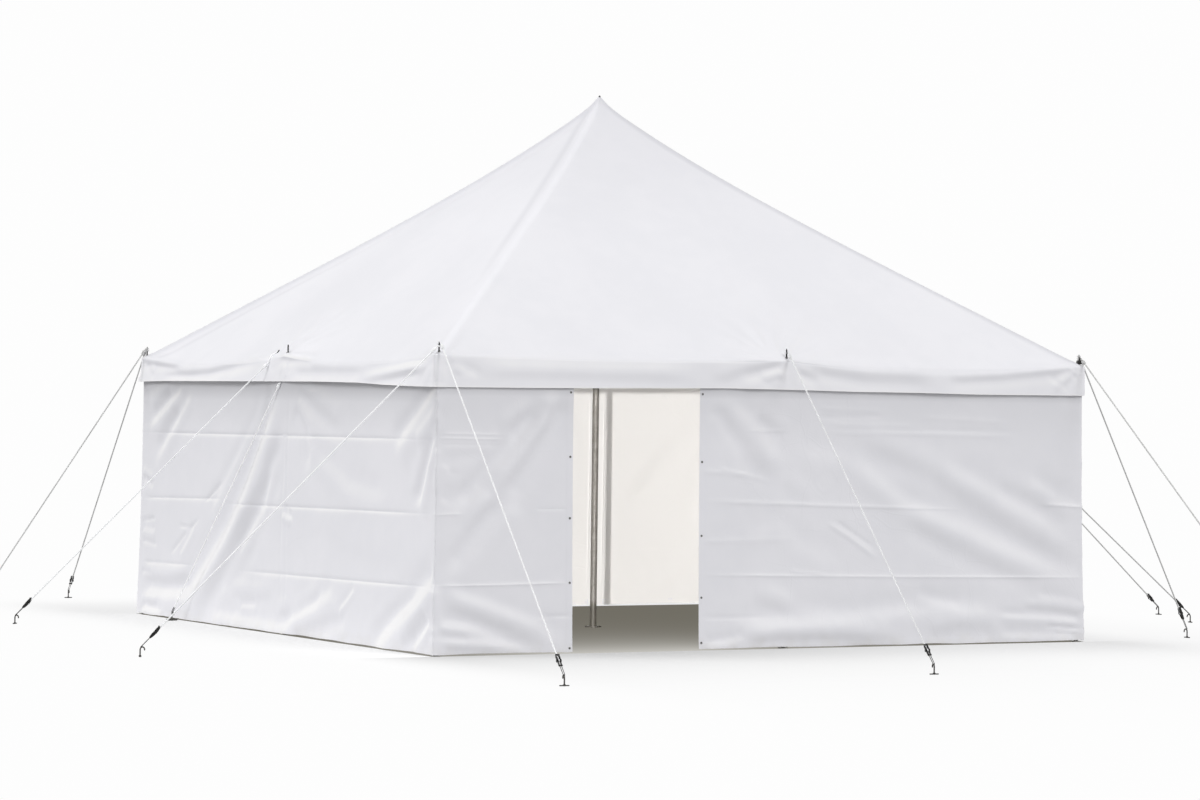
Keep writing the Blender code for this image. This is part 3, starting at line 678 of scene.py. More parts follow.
# Folds of the panels in view, on (place along the side, height): mm high, mm half width, spread
wallFolds = {
    "left": [
        (-3.4, 18, 1, [(-2.50, 1.37), (0.35, 1.38), (2.51, 1.385)]), (-3.0, 18, 1, [(-2.50, 0.88), (-0.93, 0.91)]),
        (-3.4, 18, 1, [(-0.95, 0.875), (0.37, 0.89), (1.37, 0.90), (2.50, 0.91)]),
        (-3.4, 18, 1, [(-2.48, 0.40), (-1.5, 0.41)]), (-3.8, 18, 1, [(-0.62, 0.41), (2.50, 0.44)]),
        (-2.0, 14, 1, [(0.20, 1.70), (0.17, 1.29), (0.19, 0.10)]),
        (-2.0, 14, 1, [(0.11, 1.40), (0.09, 0.46), (0.14, 0.12)]),
        (18, 84, 1.2, [(0.08, 1.76), (-0.26, 1.33), (-0.52, 1.02), (-0.86, 0.67), (-1.24, 0.40), (-1.86, -0.02)]),
        (7, 50, 1.2, [(-0.18, 1.70), (-0.52, 1.41), (-0.96, 1.03), (-1.24, 0.70)]),
        (-11, 56, 1.3, [(0.07, 1.50), (-0.12, 1.12), (-0.62, 0.66), (-1.16, 0.23), (-1.40, 0.04)]),
        (-5, 52, 1.3, [(0.10, 1.30), (0.02, 1.10), (-0.46, 0.58), (-0.94, 0.22)]),
        (7, 44, 1.3, [(-0.01, 1.30), (-0.21, 0.85), (-0.70, 0.49)]),
        (-6, 44, 1.2, [(-0.30, 1.62), (-0.75, 1.25), (-1.15, 0.90)]), (-4, 16, 1, [(-0.98, 1.03), (-1.29, 0.88)]),
        (-4, 14, 1, [(-1.78, 0.70), (-1.55, 0.68), (-1.37, 0.76)]), (-4, 20, 1, [(-1.60, 0.66), (-1.91, 0.48)]),
        (4, 26, 1, [(-1.45, 0.70), (-1.75, 0.46)]), (16, 66, 1.3, [(2.56, 1.76), (2.23, 1.54), (1.86, 1.31)]),
        (9, 40, 1.2, [(2.56, 1.62), (2.20, 1.38)]), (-6, 46, 1.3, [(2.40, 1.75), (2.12, 1.56), (1.80, 1.38)]),
        (11, 36, 1.6, [(2.51, 1.42), (2.39, 1.17), (2.27, 0.90)]), (-3, 34, 1.4, [(2.38, 1.34), (2.20, 0.98)]),
        (20, 76, 1.4, [(2.62, 0.52), (2.09, 0.25), (1.62, -0.02)]),
        (-7, 44, 1.3, [(2.26, 0.42), (1.89, 0.26), (1.54, 0.06)]),
        (-7, 40, 1.3, [(2.48, 0.30), (2.27, 0.17), (2.08, 0.03)]), (9, 36, 1.2, [(2.52, 0.22), (2.25, 0.02)]),
        (9, 40, 1.3, [(-1.72, 1.71), (-2.09, 1.55), (-2.42, 1.40)]),
        (7, 44, 1.3, [(-1.54, 1.68), (-1.94, 1.39), (-2.30, 1.12)]), (-7, 40, 1.3, [(-1.98, 1.71), (-2.36, 1.53)]),
        (-6, 40, 1.3, [(-1.80, 1.58), (-2.25, 1.28)]), (9, 52, 1, [(-2.46, 0.17), (-1.95, 0.17), (-1.45, 0.21)]),
        (-7, 44, 1, [(-2.46, 0.29), (-2.0, 0.28), (-1.49, 0.32)]), (7, 36, 1, [(-2.46, 0.06), (-1.99, 0.03)]),
        (-5, 26, 1, [(-2.47, 0.10), (-2.1, 0.10)]), (9, 56, 1.2, [(1.05, 0.35), (0.62, 0.23), (0.12, 0.07)]),
        (-8, 40, 1.2, [(0.80, 0.33), (0.39, 0.19), (0.02, 0.12)]), (5, 24, 1, [(1.34, 0.38), (1.07, 0.19)]),
        (-7, 48, 1.2, [(1.24, 0.22), (0.71, 0.10), (0.20, 0.03)]), (4, 24, 1, [(-0.60, 0.16), (-0.29, 0.17)]),
        (-5, 44, 1, [(-0.80, 0.25), (-0.36, 0.24), (0.06, 0.27)]),
        (7, 50, 1, [(-1.17, 0.08), (-0.43, 0.06), (0.39, 0.05)]),
        (-6, 48, 1.5, [(0.34, 1.73), (0.74, 1.57), (1.13, 1.43)]),
        (-4, 44, 1.4, [(0.30, 1.62), (0.51, 1.42), (0.60, 1.15)]), (-5, 22, 1, [(-2.49, 0.71), (-2.22, 0.73)]),
        (-5, 22, 1, [(-2.49, 0.56), (-2.18, 0.54)]), (-5, 22, 1, [(-2.48, 0.33), (-2.24, 0.32)]),
        (-5, 24, 1, [(-2.49, 1.06), (-2.26, 1.00)]), (4, 30, 1, [(-2.48, 0.64), (-2.2, 0.63)]),
        (4, 60, 1.3, [(0.5, 1.32), (1.2, 1.05), (1.9, 0.97)]), (-3, 80, 1.2, [(0.6, 0.80), (1.3, 0.62), (2.1, 0.60)]),
        (4, 24, 1, [(0.10, 0.84), (0.28, 0.80)]), (-3, 20, 1, [(0.16, 0.90), (0.30, 0.79)]),
    ],
    "front": [
        (2.2, 14, 1, [(-2.53, 1.395), (-2.01, 1.39)]), (2.0, 14, 1, [(-2.50, 1.425), (-2.02, 1.42)]),
        (-1.6, 14, 1, [(-2.50, 1.355), (-2.03, 1.35)]), (2.6, 14, 1, [(-2.53, 0.905), (-2.33, 0.91)]),
        (3.6, 15, 1, [(-2.53, 0.45), (-2.04, 0.452), (-1.52, 0.46)]), (-3, 14, 1, [(-1.79, 0.24), (-1.52, 0.25)]),
        (-1.6, 14, 1, [(-1.80, 0.94), (-1.56, 0.94)]),
        (-10, 48, 1.5, [(-1.60, 1.70), (-1.75, 1.47), (-1.94, 1.21), (-2.12, 1.00)]),
        (8, 42, 1.5, [(-1.70, 1.63), (-1.94, 1.33), (-2.19, 1.07), (-2.42, 0.88)]),
        (-7, 40, 1.4, [(-1.80, 1.63), (-2.06, 1.42), (-2.27, 1.17), (-2.46, 0.96)]),
        (5, 40, 1.3, [(-2.00, 1.50), (-2.19, 1.29), (-2.38, 1.05)]),
        (-4, 30, 1.2, [(-2.12, 1.32), (-2.33, 1.31), (-2.50, 1.29)]), (4, 30, 1.2, [(-2.42, 1.22), (-2.51, 0.98)]),
        (5, 46, 1.3, [(-1.94, 1.01), (-2.19, 0.73), (-2.45, 0.48)]),
        (-5, 40, 1.3, [(-2.08, 1.03), (-2.30, 0.80), (-2.48, 0.56)]),
        (-13, 46, 1.5, [(-2.52, 0.37), (-2.32, 0.29), (-2.04, 0.18), (-1.68, 0.06)]),
        (8, 42, 1.2, [(-2.46, 0.42), (-2.14, 0.32), (-1.82, 0.20), (-1.55, 0.06)]),
        (9, 36, 1.2, [(-2.53, 0.21), (-2.27, 0.18), (-1.95, 0.08)]), (-5, 24, 1, [(-2.53, 0.16), (-2.27, 0.13)]),
        (7, 30, 1, [(-2.53, 0.11), (-2.18, 0.08), (-1.81, 0.03)]),
        (-6, 28, 1, [(-2.52, 0.065), (-2.04, 0.03), (-1.81, 0.02)]), (2.2, 14, 1, [(-0.22, 1.46), (0.10, 1.46)]),
        (2.6, 15, 1, [(0.39, 1.45), (1.08, 1.447), (1.94, 1.43)]), (2.0, 14, 1, [(0.33, 1.615), (0.90, 1.60)]),
        (-2.4, 16, 1, [(0.31, 1.55), (0.90, 1.57)]), (2, 15, 1, [(0.39, 1.505), (1.18, 1.50)]),
        (2, 16, 1, [(1.15, 1.56), (1.92, 1.53)]), (-2, 15, 1, [(1.15, 1.48), (1.98, 1.468)]),
        (3.8, 15, 1, [(-0.58, 0.99), (0.64, 0.95), (1.50, 0.93)]),
        (5.0, 17, 1, [(2.16, 0.965), (2.40, 0.95), (2.70, 0.937)]),
        (3.8, 15, 1, [(-0.58, 0.50), (1.03, 0.47), (2.72, 0.448)]), (3, 15, 1, [(-0.57, 1.19), (-0.17, 1.16)]),
        (2.4, 15, 1, [(-0.45, 1.21), (-0.02, 1.12)]), (2.6, 15, 1, [(-0.57, 0.72), (0.15, 0.735)]),
        (-3.2, 15, 1, [(-0.57, 0.22), (-0.02, 0.21)]), (2.2, 14, 1, [(0.11, 0.52), (0.43, 0.49)]),
        (4.5, 14, 1, [(0.42, 0.84), (0.60, 0.74), (0.82, 0.60)]), (-3.5, 14, 1, [(0.48, 0.86), (0.82, 0.66)]),
        (-9, 48, 1.5, [(-0.48, 1.68), (-0.33, 1.46), (-0.18, 1.31), (0.08, 1.12)]),
        (6, 42, 1.3, [(-0.46, 1.60), (-0.37, 1.45), (-0.20, 1.28)]),
        (6, 46, 1.4, [(-0.34, 1.66), (-0.10, 1.45), (0.04, 1.20)]), (-5, 34, 1.2, [(-0.14, 1.57), (0.12, 1.43)]),
        (-4, 50, 1.2, [(0.06, 1.13), (0.28, 0.96)]),
        (13, 60, 1.3, [(0.55, 1.29), (1.08, 0.96), (1.58, 0.79), (2.0, 0.60), (2.44, 0.475), (2.72, 0.425)]),
        (-11, 58, 1.2, [(1.0, 0.90), (1.37, 0.72), (1.83, 0.54), (2.24, 0.45)]),
        (-11, 60, 1.3, [(0.60, 1.42), (1.22, 1.20), (1.74, 0.93), (2.36, 0.60), (2.62, 0.51)]),
        (9, 60, 1.3, [(1.30, 1.25), (1.89, 0.98), (2.21, 0.82), (2.48, 0.60)]),
        (-7, 50, 1.2, [(1.80, 1.12), (2.03, 1.03), (2.28, 0.93)]),
        (8, 50, 1.1, [(2.05, 1.15), (2.31, 1.00), (2.50, 0.93)]),
        (6, 60, 1.3, [(0.15, 1.34), (0.63, 1.27), (1.14, 1.09)]),
        (13, 58, 1.1, [(-0.40, 0.17), (0.17, 0.18), (0.77, 0.22), (1.38, 0.26), (1.95, 0.23)]),
        (-14, 44, 1.1, [(-0.30, 0.05), (0.04, 0.08), (0.49, 0.075), (1.10, 0.03)]),
        (-10, 48, 1.1, [(1.20, 0.07), (1.48, 0.13), (1.84, 0.11)]),
        (6, 34, 1, [(1.12, 0.35), (1.34, 0.29), (1.52, 0.25)]),
        (5, 26, 1, [(2.12, 0.33), (2.36, 0.30), (2.58, 0.26)]),
        (-7, 23, 1, [(2.00, 0.26), (2.28, 0.235), (2.58, 0.19)]),
        (8, 23, 1, [(1.78, 0.20), (2.24, 0.17), (2.58, 0.135)]), (-5, 17, 1, [(2.20, 0.12), (2.58, 0.088)]),
        (4, 14, 1, [(2.28, 0.088), (2.58, 0.062)]), (7, 30, 1, [(1.78, 0.06), (2.54, 0.04)]),
        (8, 30, 1, [(-0.55, 0.03), (-0.31, 0.06), (-0.20, 0.10)]),
        (5, 55, 1.2, [(-0.25, 0.75), (0.03, 0.83), (0.21, 0.69), (0.60, 0.52)]),
        (5, 50, 1.2, [(-0.09, 0.44), (0.21, 0.29), (0.52, 0.24)]), (-5, 46, 1.2, [(-0.18, 0.36), (0.15, 0.25)]),
    ],
}


def dealtWallFolds(seed, middle):  # storage creases, drapes from the poles and bulges at the ground
    dice = np.random.default_rng(seed)
    folds = []
    for height in wallSizes["creaseHeights"]:
        slope = dice.uniform(-0.02, 0.02)
        size = dice.choice((-1, 1)) * dice.uniform(2.6, 3.6)
        line = [(-2.5, height - slope), (dice.uniform(-0.4, 0.4), height), (2.5, height + slope)]
        folds.append((size, 15, 1, line))
    for first, last, top, foot in ((0.06, 0.05, 1.7, 0.1), (-0.03, -0.02, 1.5, 0.12)):
        folds.append((-2, 14, 1, [(middle + first, top), (middle + last, foot)]))
    for pole in (-2.48, middle, middle, 2.48):
        toward = inward(pole, dice)
        for fold in range(4):
            reach, foot = dice.uniform(0.35, 1.3) * toward, dice.uniform(0.3, 1.35)
            bow = (pole + reach * 0.45, 1.72 - (1.72 - foot) * dice.uniform(0.38, 0.55))
            size, width = dice.uniform(5, 11) * (1 if fold % 2 else -1), dice.uniform(38, 56)
            folds.append((size, width, 1.4, [(pole + 0.04 * toward * fold, 1.70), bow, (pole + reach, foot)]))
    for fold in range(9):
        place, height = dice.uniform(-2.2, 2.0), dice.uniform(0.04, 0.30)
        size, width = dice.uniform(6, 11) * dice.choice((-1, 1)), dice.uniform(32, 50)
        second = (place + dice.uniform(0.25, 0.5), height + dice.uniform(-0.05, 0.05))
        third = (place + dice.uniform(0.6, 0.9), height + dice.uniform(-0.08, 0.08))
        folds.append((size, width, 1.1, [(place, height), second, third]))
    for fold in range(4):
        edge, height = dice.choice((-1, 1)), dice.uniform(0.2, 0.6)
        line = [(edge * 2.47, height), (edge * 2.1, height * 0.5), (edge * 1.75, 0.04)]
        folds.append((dice.uniform(8, 12) * (1 if fold % 2 else -1), 42, 1.4, line))
    return folds


for side, seed in (("right", 61), ("back", 62)):
    wallFolds[side] = dealtWallFolds(seed, sides[side]["middle"])
seamPlaces = (-1.314, -1.360, -1.442, -1.478)  # welded seams of the back wall
backSeams = [(-4.5, 8, 1, [(u, 1.76), (u, 0.02)]) for u in seamPlaces]


def wallOut(z):  # the face leans out towards the ground, most in its lowest part
    share = np.clip(1 - z / eaveZ, 0, 1)
    return plan["wallTopOut"] + (plan["wallFootOut"] - plan["wallTopOut"]) * share ** wallSizes["flare"]


def wallFoldsAt(side, u, z):  # the folds of one side, before its corners are joined to the next side
    number, seed, hem = sides[side]["corner"], wallSizes["seed"], wallSizes["valanceHem"]
    amount = foldField(u, z, wallFolds[side], sideLight[side], *foldGains[side][:2])
    if side == "back":  # the stretch seen through the door hangs almost flat, with welded seams
        amount = amount * (1 - 0.85 * smoothStep(-0.6, -0.9, u)) + foldField(u, z, backSeams, sideLight[side])
    amount += 0.004 * softNoise(u * 1.3 + number * 11, z * 1.1 + 4, seed) * (0.4 if side == "back" else 1)
    amount += 0.0012 * softNoise(u * 5 + number * 11, z * 5, seed + 1)
    amount += 0.0006 * softNoise(u * 14 + number * 5, z * 13, seed + 2) * (1 + 2 * smoothStep(0.5, 0.0, z))
    near = eaveOut - np.abs(u)
    amount += 0.0022 * softNoise(near * 6, z * 13 + number, seed + 3) * smoothStep(0.30, 0.05, near)
    calm = smoothStep(1.86, hem, z)
    amount = amount * (0.15 + 0.85 * calm)
    # the cloth can't pass through a pole, and it stays behind the valance
    away = np.minimum(np.abs(u - sides[side]["middle"]), near)
    lowest = plan["poleLine"] + plan["poleRadius"] + 0.0016 - wallOut(z) - 0.5 * np.maximum(away - 0.03, 0)
    amount = np.maximum(amount, lowest)
    return np.where(z > hem, np.minimum(amount, 0.0045 + 0.10 * smoothStep(1.70, 1.64, z)), amount)


def cornerTable(number, side):  # a corner takes the mean of the two sides that meet there
    before, z = list(sides)[number - 1], cornerHeights
    mean = (wallFoldsAt(before, 0 * z + 2.48, z) + wallFoldsAt(side, 0 * z - 2.48, z)) / 2
    broad, fine = softNoise(z * 12 + number * 3.1, z * 0 + number, 91), softNoise(z * 33, z * 0 + number, 92)
    mean += 0.0032 * broad + 0.0016 * fine
    return np.clip(mean, 0.0006, np.where(z > wallSizes["valanceHem"], 0.004, 0.013))


cornerHeights = np.linspace(0, 2, 401)
cornerTables = [cornerTable(number, side) for number, side in enumerate(sides)]


def wallAmount(side, u, z):
    edge = smoothStep(-0.01, 0.07, eaveOut - np.abs(u))
    first = sides[side]["corner"]
    starts, ends = [np.interp(z, cornerHeights, cornerTables[corner % 4]) for corner in (first, first + 1)]
    edge = np.where(np.abs(u) >= eaveOut, 0.0, edge)
    return wallFoldsAt(side, u, z) * edge + (1 - edge) * np.where(u > 0, ends, starts)


def wallSurface(side, u, z, bend, lift=0.0):
    rounding, out = wallSizes["cornerRound"], wallOut(z)
    push, flat = wallAmount(side, u, z) + lift, out - rounding
    around = np.sign(bend) * (flat + rounding * np.sin(np.abs(bend)))
    across = np.where(bend != 0, around, np.clip(u, -flat, flat))
    outward = flat + rounding * np.cos(bend)
    return worldPoints(side, across + push * np.sin(bend), outward + push * np.cos(bend), z)


def wallHeights(step):  # rows from the top down, closer together at the storage creases
    fine = wallSizes["fineStep"] * step / wallSizes["seenStep"]
    heights, low = [], 0.0
    while low < 1.0:
        heights.append(low)
        z = low * (eaveZ - wallSizes["topDrop"])
        close = min(abs(z - crease) for crease in wallSizes["creaseHeights"])
        low += (fine + (step - fine) * float(smoothStep(0.03, 0.07, np.array(close)))) / eaveZ
    return np.array(heights[:-1] + [1.0])[::-1]


def wallGrid(side, low, high, step):
    ends = [-eaveOut + 0.012 if low is None else low, eaveOut - 0.012 if high is None else high]
    u = np.linspace(*ends, int((ends[1] - ends[0]) / step) + 1)
    if side == "back":  # more columns on and beside each seam
        beside = np.array([-0.010, -0.005, -0.0025, 0, 0.0025, 0.005, 0.010])
        u = np.sort(np.concatenate([u, *[beside + seam for seam in seamPlaces]]))
    u, bend = roundCorners(u, wallSizes["arcColumns"], low is None, high is None)
    top = eaveHeight(side, u) - wallSizes["topDrop"]
    foot = plan["wallFootZ"] + 0.003 * (1 + softNoise(u * 4, u * 0 + sides[side]["corner"], 55)) * (bend == 0)
    z = foot + (top - foot) * wallHeights(step)[:, None]
    return np.broadcast_to(u, z.shape), z, np.broadcast_to(bend, z.shape)


def buildWall(name, side, low, high, step):
    u, z, bend = wallGrid(side, low, high, step)
    points = wallSurface(side, u, z, bend)
    lean = leanToLight(side, u, z, wallAmount(side, u, z))
    faces, uv = gridFaces(*u.shape, flip=True), np.stack([u, z], -1)
    return addMesh(name + "_sheet", points, faces, panelSheets.get(name, wallSheet), uv, lean=lean)


wallPanels = {  # side, first and last edge where it isn't a corner, and spacing of the columns
    "wall_front_left": ("front", None, plan["doorLeft"], wallSizes["doorStep"]),
    "wall_front_right": ("front", plan["doorRight"], None, wallSizes["seenStep"]),
    "wall_left": ("left", None, None, wallSizes["seenStep"]),
    "wall_right": ("right", None, None, wallSizes["unseenStep"]),
    "wall_back": ("back", None, None, wallSizes["unseenStep"]),
}
walls = {name: buildWall(name, *settings) for name, settings in wallPanels.items()}
for name, made in walls.items():
    print("scene:", name, "has", len(made.data.polygons), "faces")


# ---- welded hems and bands ----

hemSizes = {
    "lift": 0.0006, "back": 0.0001, "valance": 0.028, "foot": (0.016, 0.055), "door": (0.058, 1.80), "doorEdge": 0.045,
    "rows": 4, "doorRows": 150, "seenColumns": 150, "unseenColumns": 90, "footStep": 0.02, "cornerGap": 0.03,
}


def canopyHem(side):
    count = hemSizes["seenColumns"] if side in ("front", "left") else hemSizes["unseenColumns"]
    u, bend = roundCorners(np.linspace(-eaveOut, eaveOut, count), 4)
    hem = eaveHeight(side, u) - hemHeight(side, u)
    down = hem - hemSizes["valance"] * np.linspace(1, 0, hemSizes["rows"])[:, None]
    u, bend = np.broadcast_to(u, down.shape), np.broadcast_to(bend, down.shape)
    outer, inner = [canopySurface(side, u, down, bend, hemSizes[lift])[::-1] for lift in ("lift", "back")]
    lean = canopyLean(side, u, down) + np.array([0, 0, 0.08, 0.30])[:, None]  # painted highlight: the welded edge is drawn lighter, as where it catches the light
    return strip(f"valance_hem_{side}", outer, inner, roofHemSheet, lean[::-1])


def wallBand(panel, kind, side, reach, heights, columns, rows):
    u, z = np.broadcast_arrays(np.linspace(*reach, columns), np.linspace(*heights, rows)[:, None])
    outer, inner = [wallSurface(side, u, z, np.zeros(z.shape), hemSizes[lift]) for lift in ("lift", "back")]
    lean = leanToLight(side, u, z, wallAmount(side, u, z))
    return strip(panel + kind, outer, inner, panelHems.get(panel, hemSheet), lean)


valanceHems = [canopyHem(side) for side in sides]
wallHems = {}
for name, (side, low, high, step) in wallPanels.items():
    start = -eaveOut + hemSizes["cornerGap"] if low is None else low
    end = eaveOut - hemSizes["cornerGap"] if high is None else high
    columns = int((end - start) / hemSizes["footStep"])
    made = [wallBand(name, "_foot_hem", side, (start, end), hemSizes["foot"], columns, hemSizes["rows"])]
    for edge, before, after in ((low, 0, hemSizes["doorEdge"]), (high, hemSizes["doorEdge"], 0)):
        if edge is not None:
            ends = (edge - before, edge + after)
            made.append(wallBand(name, "_door_hem", side, ends, hemSizes["door"], 5, hemSizes["doorRows"]))
    wallHems[name] = made
print("scene: hems welded")


# ---- geometry node trees: twisted rope and eyelets ----

def formTree(name, inputs):
    sockets = [("Geometry", "Geometry", None), *inputs, ("Material", "Material", None)]
    return newTree(name, "GeometryNodeTree", sockets, [("Geometry", "Geometry")])


def finishTree(tree, result, geometry, material):  # every form ends as smooth, real faces with a material
    smooth = addNode(tree, "GeometryNodeSetShadeSmooth", Geometry=geometry)
    real = addNode(tree, "GeometryNodeRealizeInstances", Geometry=smooth.outputs[0])
    finished = addNode(tree, "GeometryNodeSetMaterial", Geometry=real.outputs[0], Material=material)
    return putOut(tree, result, Geometry=finished.outputs[0])


def ropeTree():  # a three-strand rope laid along every edge chain it is given
    tree, given, result = formTree("twistedRope", [
        ("Radius", "Float", 0.0045), ("Lay Length", "Float", 0.045),
        ("Step", "Float", 0.008), ("Strand Depth", "Float", 0.08),
    ])
    curve = addNode(tree, "GeometryNodeMeshToCurve", Mesh=given["Geometry"])
    even = addNode(tree, "GeometryNodeResampleCurve", mode="LENGTH", Curve=curve.outputs[0], Length=given["Step"])
    along = addNode(tree, "GeometryNodeSplineParameter").outputs["Length"]
    turn = mathNode(tree, "MULTIPLY", mathNode(tree, "DIVIDE", along, given["Lay Length"]), 2 * math.pi)
    twisted = addNode(tree, "GeometryNodeSetCurveTilt", Curve=even.outputs[0], Tilt=turn)
    ring = addNode(tree, "GeometryNodeCurvePrimitiveCircle", Resolution=12, Radius=given["Radius"])
    place = addNode(tree, "GeometryNodeInputPosition").outputs[0]
    split = addNode(tree, "ShaderNodeSeparateXYZ", Vector=place).outputs
    lobes = mathNode(tree, "COSINE", mathNode(tree, "MULTIPLY", mathNode(tree, "ARCTAN2", split["Y"], split["X"]), 3.0))
    swell = mathNode(tree, "MULTIPLY_ADD", lobes, given["Strand Depth"], 1.0)
    lobed = addNode(tree, "ShaderNodeVectorMath", operation="SCALE", i0=place, Scale=swell)
    profile = addNode(tree, "GeometryNodeSetPosition", Geometry=ring.outputs[0], Position=lobed.outputs[0])
    curves = {"Curve": twisted.outputs[0], "Profile_Curve": profile.outputs[0], "Fill_Caps": True}
    solid = addNode(tree, "GeometryNodeCurveToMesh", **curves)
    return finishTree(tree, result, solid.outputs[0], given["Material"])


def eyeletTree():  # a rolled ring at every point, its dark disc a painted shade for the hole, turned to the stored direction
    tree, given, result = formTree("eyelets", [("Ring", "Object", None), ("Size", "Float", 1.0)])
    facing = addNode(tree, "GeometryNodeInputNamedAttribute", data_type="FLOAT_VECTOR", Name="facing")
    turn = addNode(tree, "FunctionNodeAlignRotationToVector", axis="Z", Vector=facing.outputs[0])
    ring = addNode(tree, "GeometryNodeObjectInfo", Object=given["Ring"])
    copies = addNode(tree, "GeometryNodeInstanceOnPoints", Points=given["Geometry"], Instance=ring.outputs["Geometry"],
                     Rotation=turn.outputs[0], Scale=given["Size"])
    return finishTree(tree, result, copies.outputs[0], given["Material"])


def grown(name, base, tree, values):  # runs the tree on base and leaves a plain mesh
    modifier = base.modifiers.new("grow", "NODES")
    modifier.node_group = tree
    for item in tree.interface.items_tree:
        if item.item_type == "SOCKET" and item.in_out == "INPUT" and item.name in values:
            modifier[item.identifier] = values[item.name]
    base.update_tag()
    bpy.context.view_layer.update()
    graph = bpy.context.evaluated_depsgraph_get()
    data = bpy.data.meshes.new_from_object(base.evaluated_get(graph), depsgraph=graph)
    data.name = name
    base.modifiers.remove(modifier)
    bpy.data.objects.remove(base)
    made = bpy.data.objects.new(name, data)
    scene.collection.objects.link(made)
    allPieces[name] = made
    return made


def plainObject(name, points, edges, faces=()):
    data = bpy.data.meshes.new(name)
    data.from_pydata([tuple(point) for point in points], edges, list(faces))
    made = bpy.data.objects.new(name, data)
    scene.collection.objects.link(made)
    return made


def ringOf(centre, radius, first, second, count):  # points round a circle that two directions span
    angles = [2 * math.pi * step / count for step in range(count)]
    return [centre + radius * (math.cos(angle) * first + math.sin(angle) * second) for angle in angles]


def bridge(faces, low, high, count):  # the band of faces between two rings of points
    for step in range(count):
        following = (step + 1) % count
        faces.append([low + step, low + following, high + following, high + step])


def sweep(path, radii, count=12):  # points and faces of a closed round tube along a path
    path, points, faces = [Vector(point) for point in path], [], []
    last = len(path) - 1
    radii = radii if isinstance(radii, list) else [radii] * len(path)
    side = (path[1] - path[0]).normalized().orthogonal().normalized()
    for index, (place, radius) in enumerate(zip(path, radii)):
        ahead = (path[min(index + 1, last)] - path[max(index - 1, 0)]).normalized()
        side = (side - ahead * side.dot(ahead)).normalized()
        points += ringOf(place, radius, side, ahead.cross(side), count)
    for ring in range(last):
        bridge(faces, ring * count, (ring + 1) * count, count)
    return points, [*faces, list(range(count))[::-1], list(range(last * count, len(points)))]


def closedSweep(path, radius, count=8):  # a tube whose path closes on itself
    path, points, faces = [Vector(point) for point in path], [], []
    total = len(path)
    normal = (path[1] - path[0]).cross(path[total // 3] - path[0]).normalized()
    for index, place in enumerate(path):
        ahead = (path[(index + 1) % total] - path[index - 1]).normalized()
        points += ringOf(place, radius, ahead.cross(normal).normalized(), normal, count)
        bridge(faces, index * count, (index + 1) % total * count, count)
    return points, faces


def plate(outline, first, second):  # a flat plate from an outline in x and z, between two y values
    count = len(outline)
    points = [Vector((x, y, z)) for y in (min(first, second), max(first, second)) for x, z in outline]
    faces = [list(range(count)), list(range(count, 2 * count))[::-1]]
    for step in range(count):
        following = (step + 1) % count
        faces.append([following, step, step + count, following + count])
    return points, faces


def joinParts(parts):
    points, faces = [], []
    for partPoints, partFaces in parts:
        start = len(points)
        points += [tuple(point) for point in partPoints]
        faces += [[index + start for index in face] for face in partFaces]
    return points, faces


def mendNormals(made, bevel=0.0):
    def mend(work):
        bmesh.ops.remove_doubles(work, verts=work.verts, dist=1e-6)
        if bevel:
            sharp = [edge for edge in work.edges if len(edge.link_faces) == 2 and edge.calc_face_angle(0) > 0.9]
            bmesh.ops.bevel(work, geom=sharp, offset=bevel, segments=2, affect="EDGES", clamp_overlap=True)
        bmesh.ops.recalc_face_normals(work, faces=work.faces)

    changeMesh(made, mend)
    made.data.set_sharp_from_angle(angle=math.radians(40))
    return made


# ---- guy ropes ----

guyPlaces = {  # the pole each rope hooks on, how high, and where its peg stands
    "near_left": ("near", 1.984, (-4.32, -2.00)), "near_front": ("near", 2.000, (-2.93, -5.07)),
    "front_middle": ("front_middle", 1.984, (-0.32, -4.97)), "right_front": ("right", 1.984, (2.60, -4.77)),
    "right_side": ("right", 2.000, (3.54, -2.41)), "right_middle_a": ("right_middle", 1.984, (4.77, -0.83)),
    "right_middle_b": ("right_middle", 2.000, (5.21, 0.16)), "rear_side": ("rear", 1.984, (4.00, 2.41)),
    "rear_back": ("rear", 2.000, (2.60, 4.77)), "back_middle": ("back_middle", 1.984, (0.0, 4.77)),
    "left_back": ("left", 1.984, (-2.25, 4.77)), "left_side": ("left", 2.000, (-3.77, 2.68)),
}
tiedRopes = {  # the two ropes tied to the sheet: where they start and where their pegs stand
    "left_middle": ((-2.5343, 0.13, 1.885), (-3.87, 1.54)), "left_wall_stay": ((-2.529, -0.060, 1.750), (-2.64, 1.60)),
}
plainPegs = ("left_wall_stay",)  # these ropes are tied to a short link, with no ratchet
shadedGreyRopes = ("right_front", "right_side", "right_middle_a", "right_middle_b", "left_back", "left_side")
ropeFibres = {
    **dict.fromkeys(shadedGreyRopes, shadedGreyRopeFibre), **dict.fromkeys(tiedRopes, brightRopeFibre),
    "near_front": softRopeFibre, "front_middle": shadedRopeFibre,
}
polePlaces = {
    "near": (-2.5, -2.5), "right": (2.5, -2.5), "rear": (2.5, 2.5), "left": (-2.5, 2.5),
    "front_middle": (0.10, -2.5), "right_middle": (2.5, -0.60), "back_middle": (0.0, 2.5), "left_middle": (-2.5, -0.12),
}
ropeSizes = {
    "radius": 0.0055, "hookRound": 0.0100, "hookLead": 0.012, "spool": 0.134, "plainLink": 0.054, "pegHead": 0.060,
    "layLength": 0.045, "step": 0.008, "tieLift": 0.0062, "tieStart": (-0.15, -0.084), "tieRun": (0.02, 0.108),
    "whipTurns": 5, "whipStart": 0.022, "whipLength": 0.030, "whipRound": 0.0072,
    "windTurns": 2, "windWidth": 0.0052, "windRound": 0.0078, "windRope": 0.0021,
}
upright = Vector((0, 0, 1))


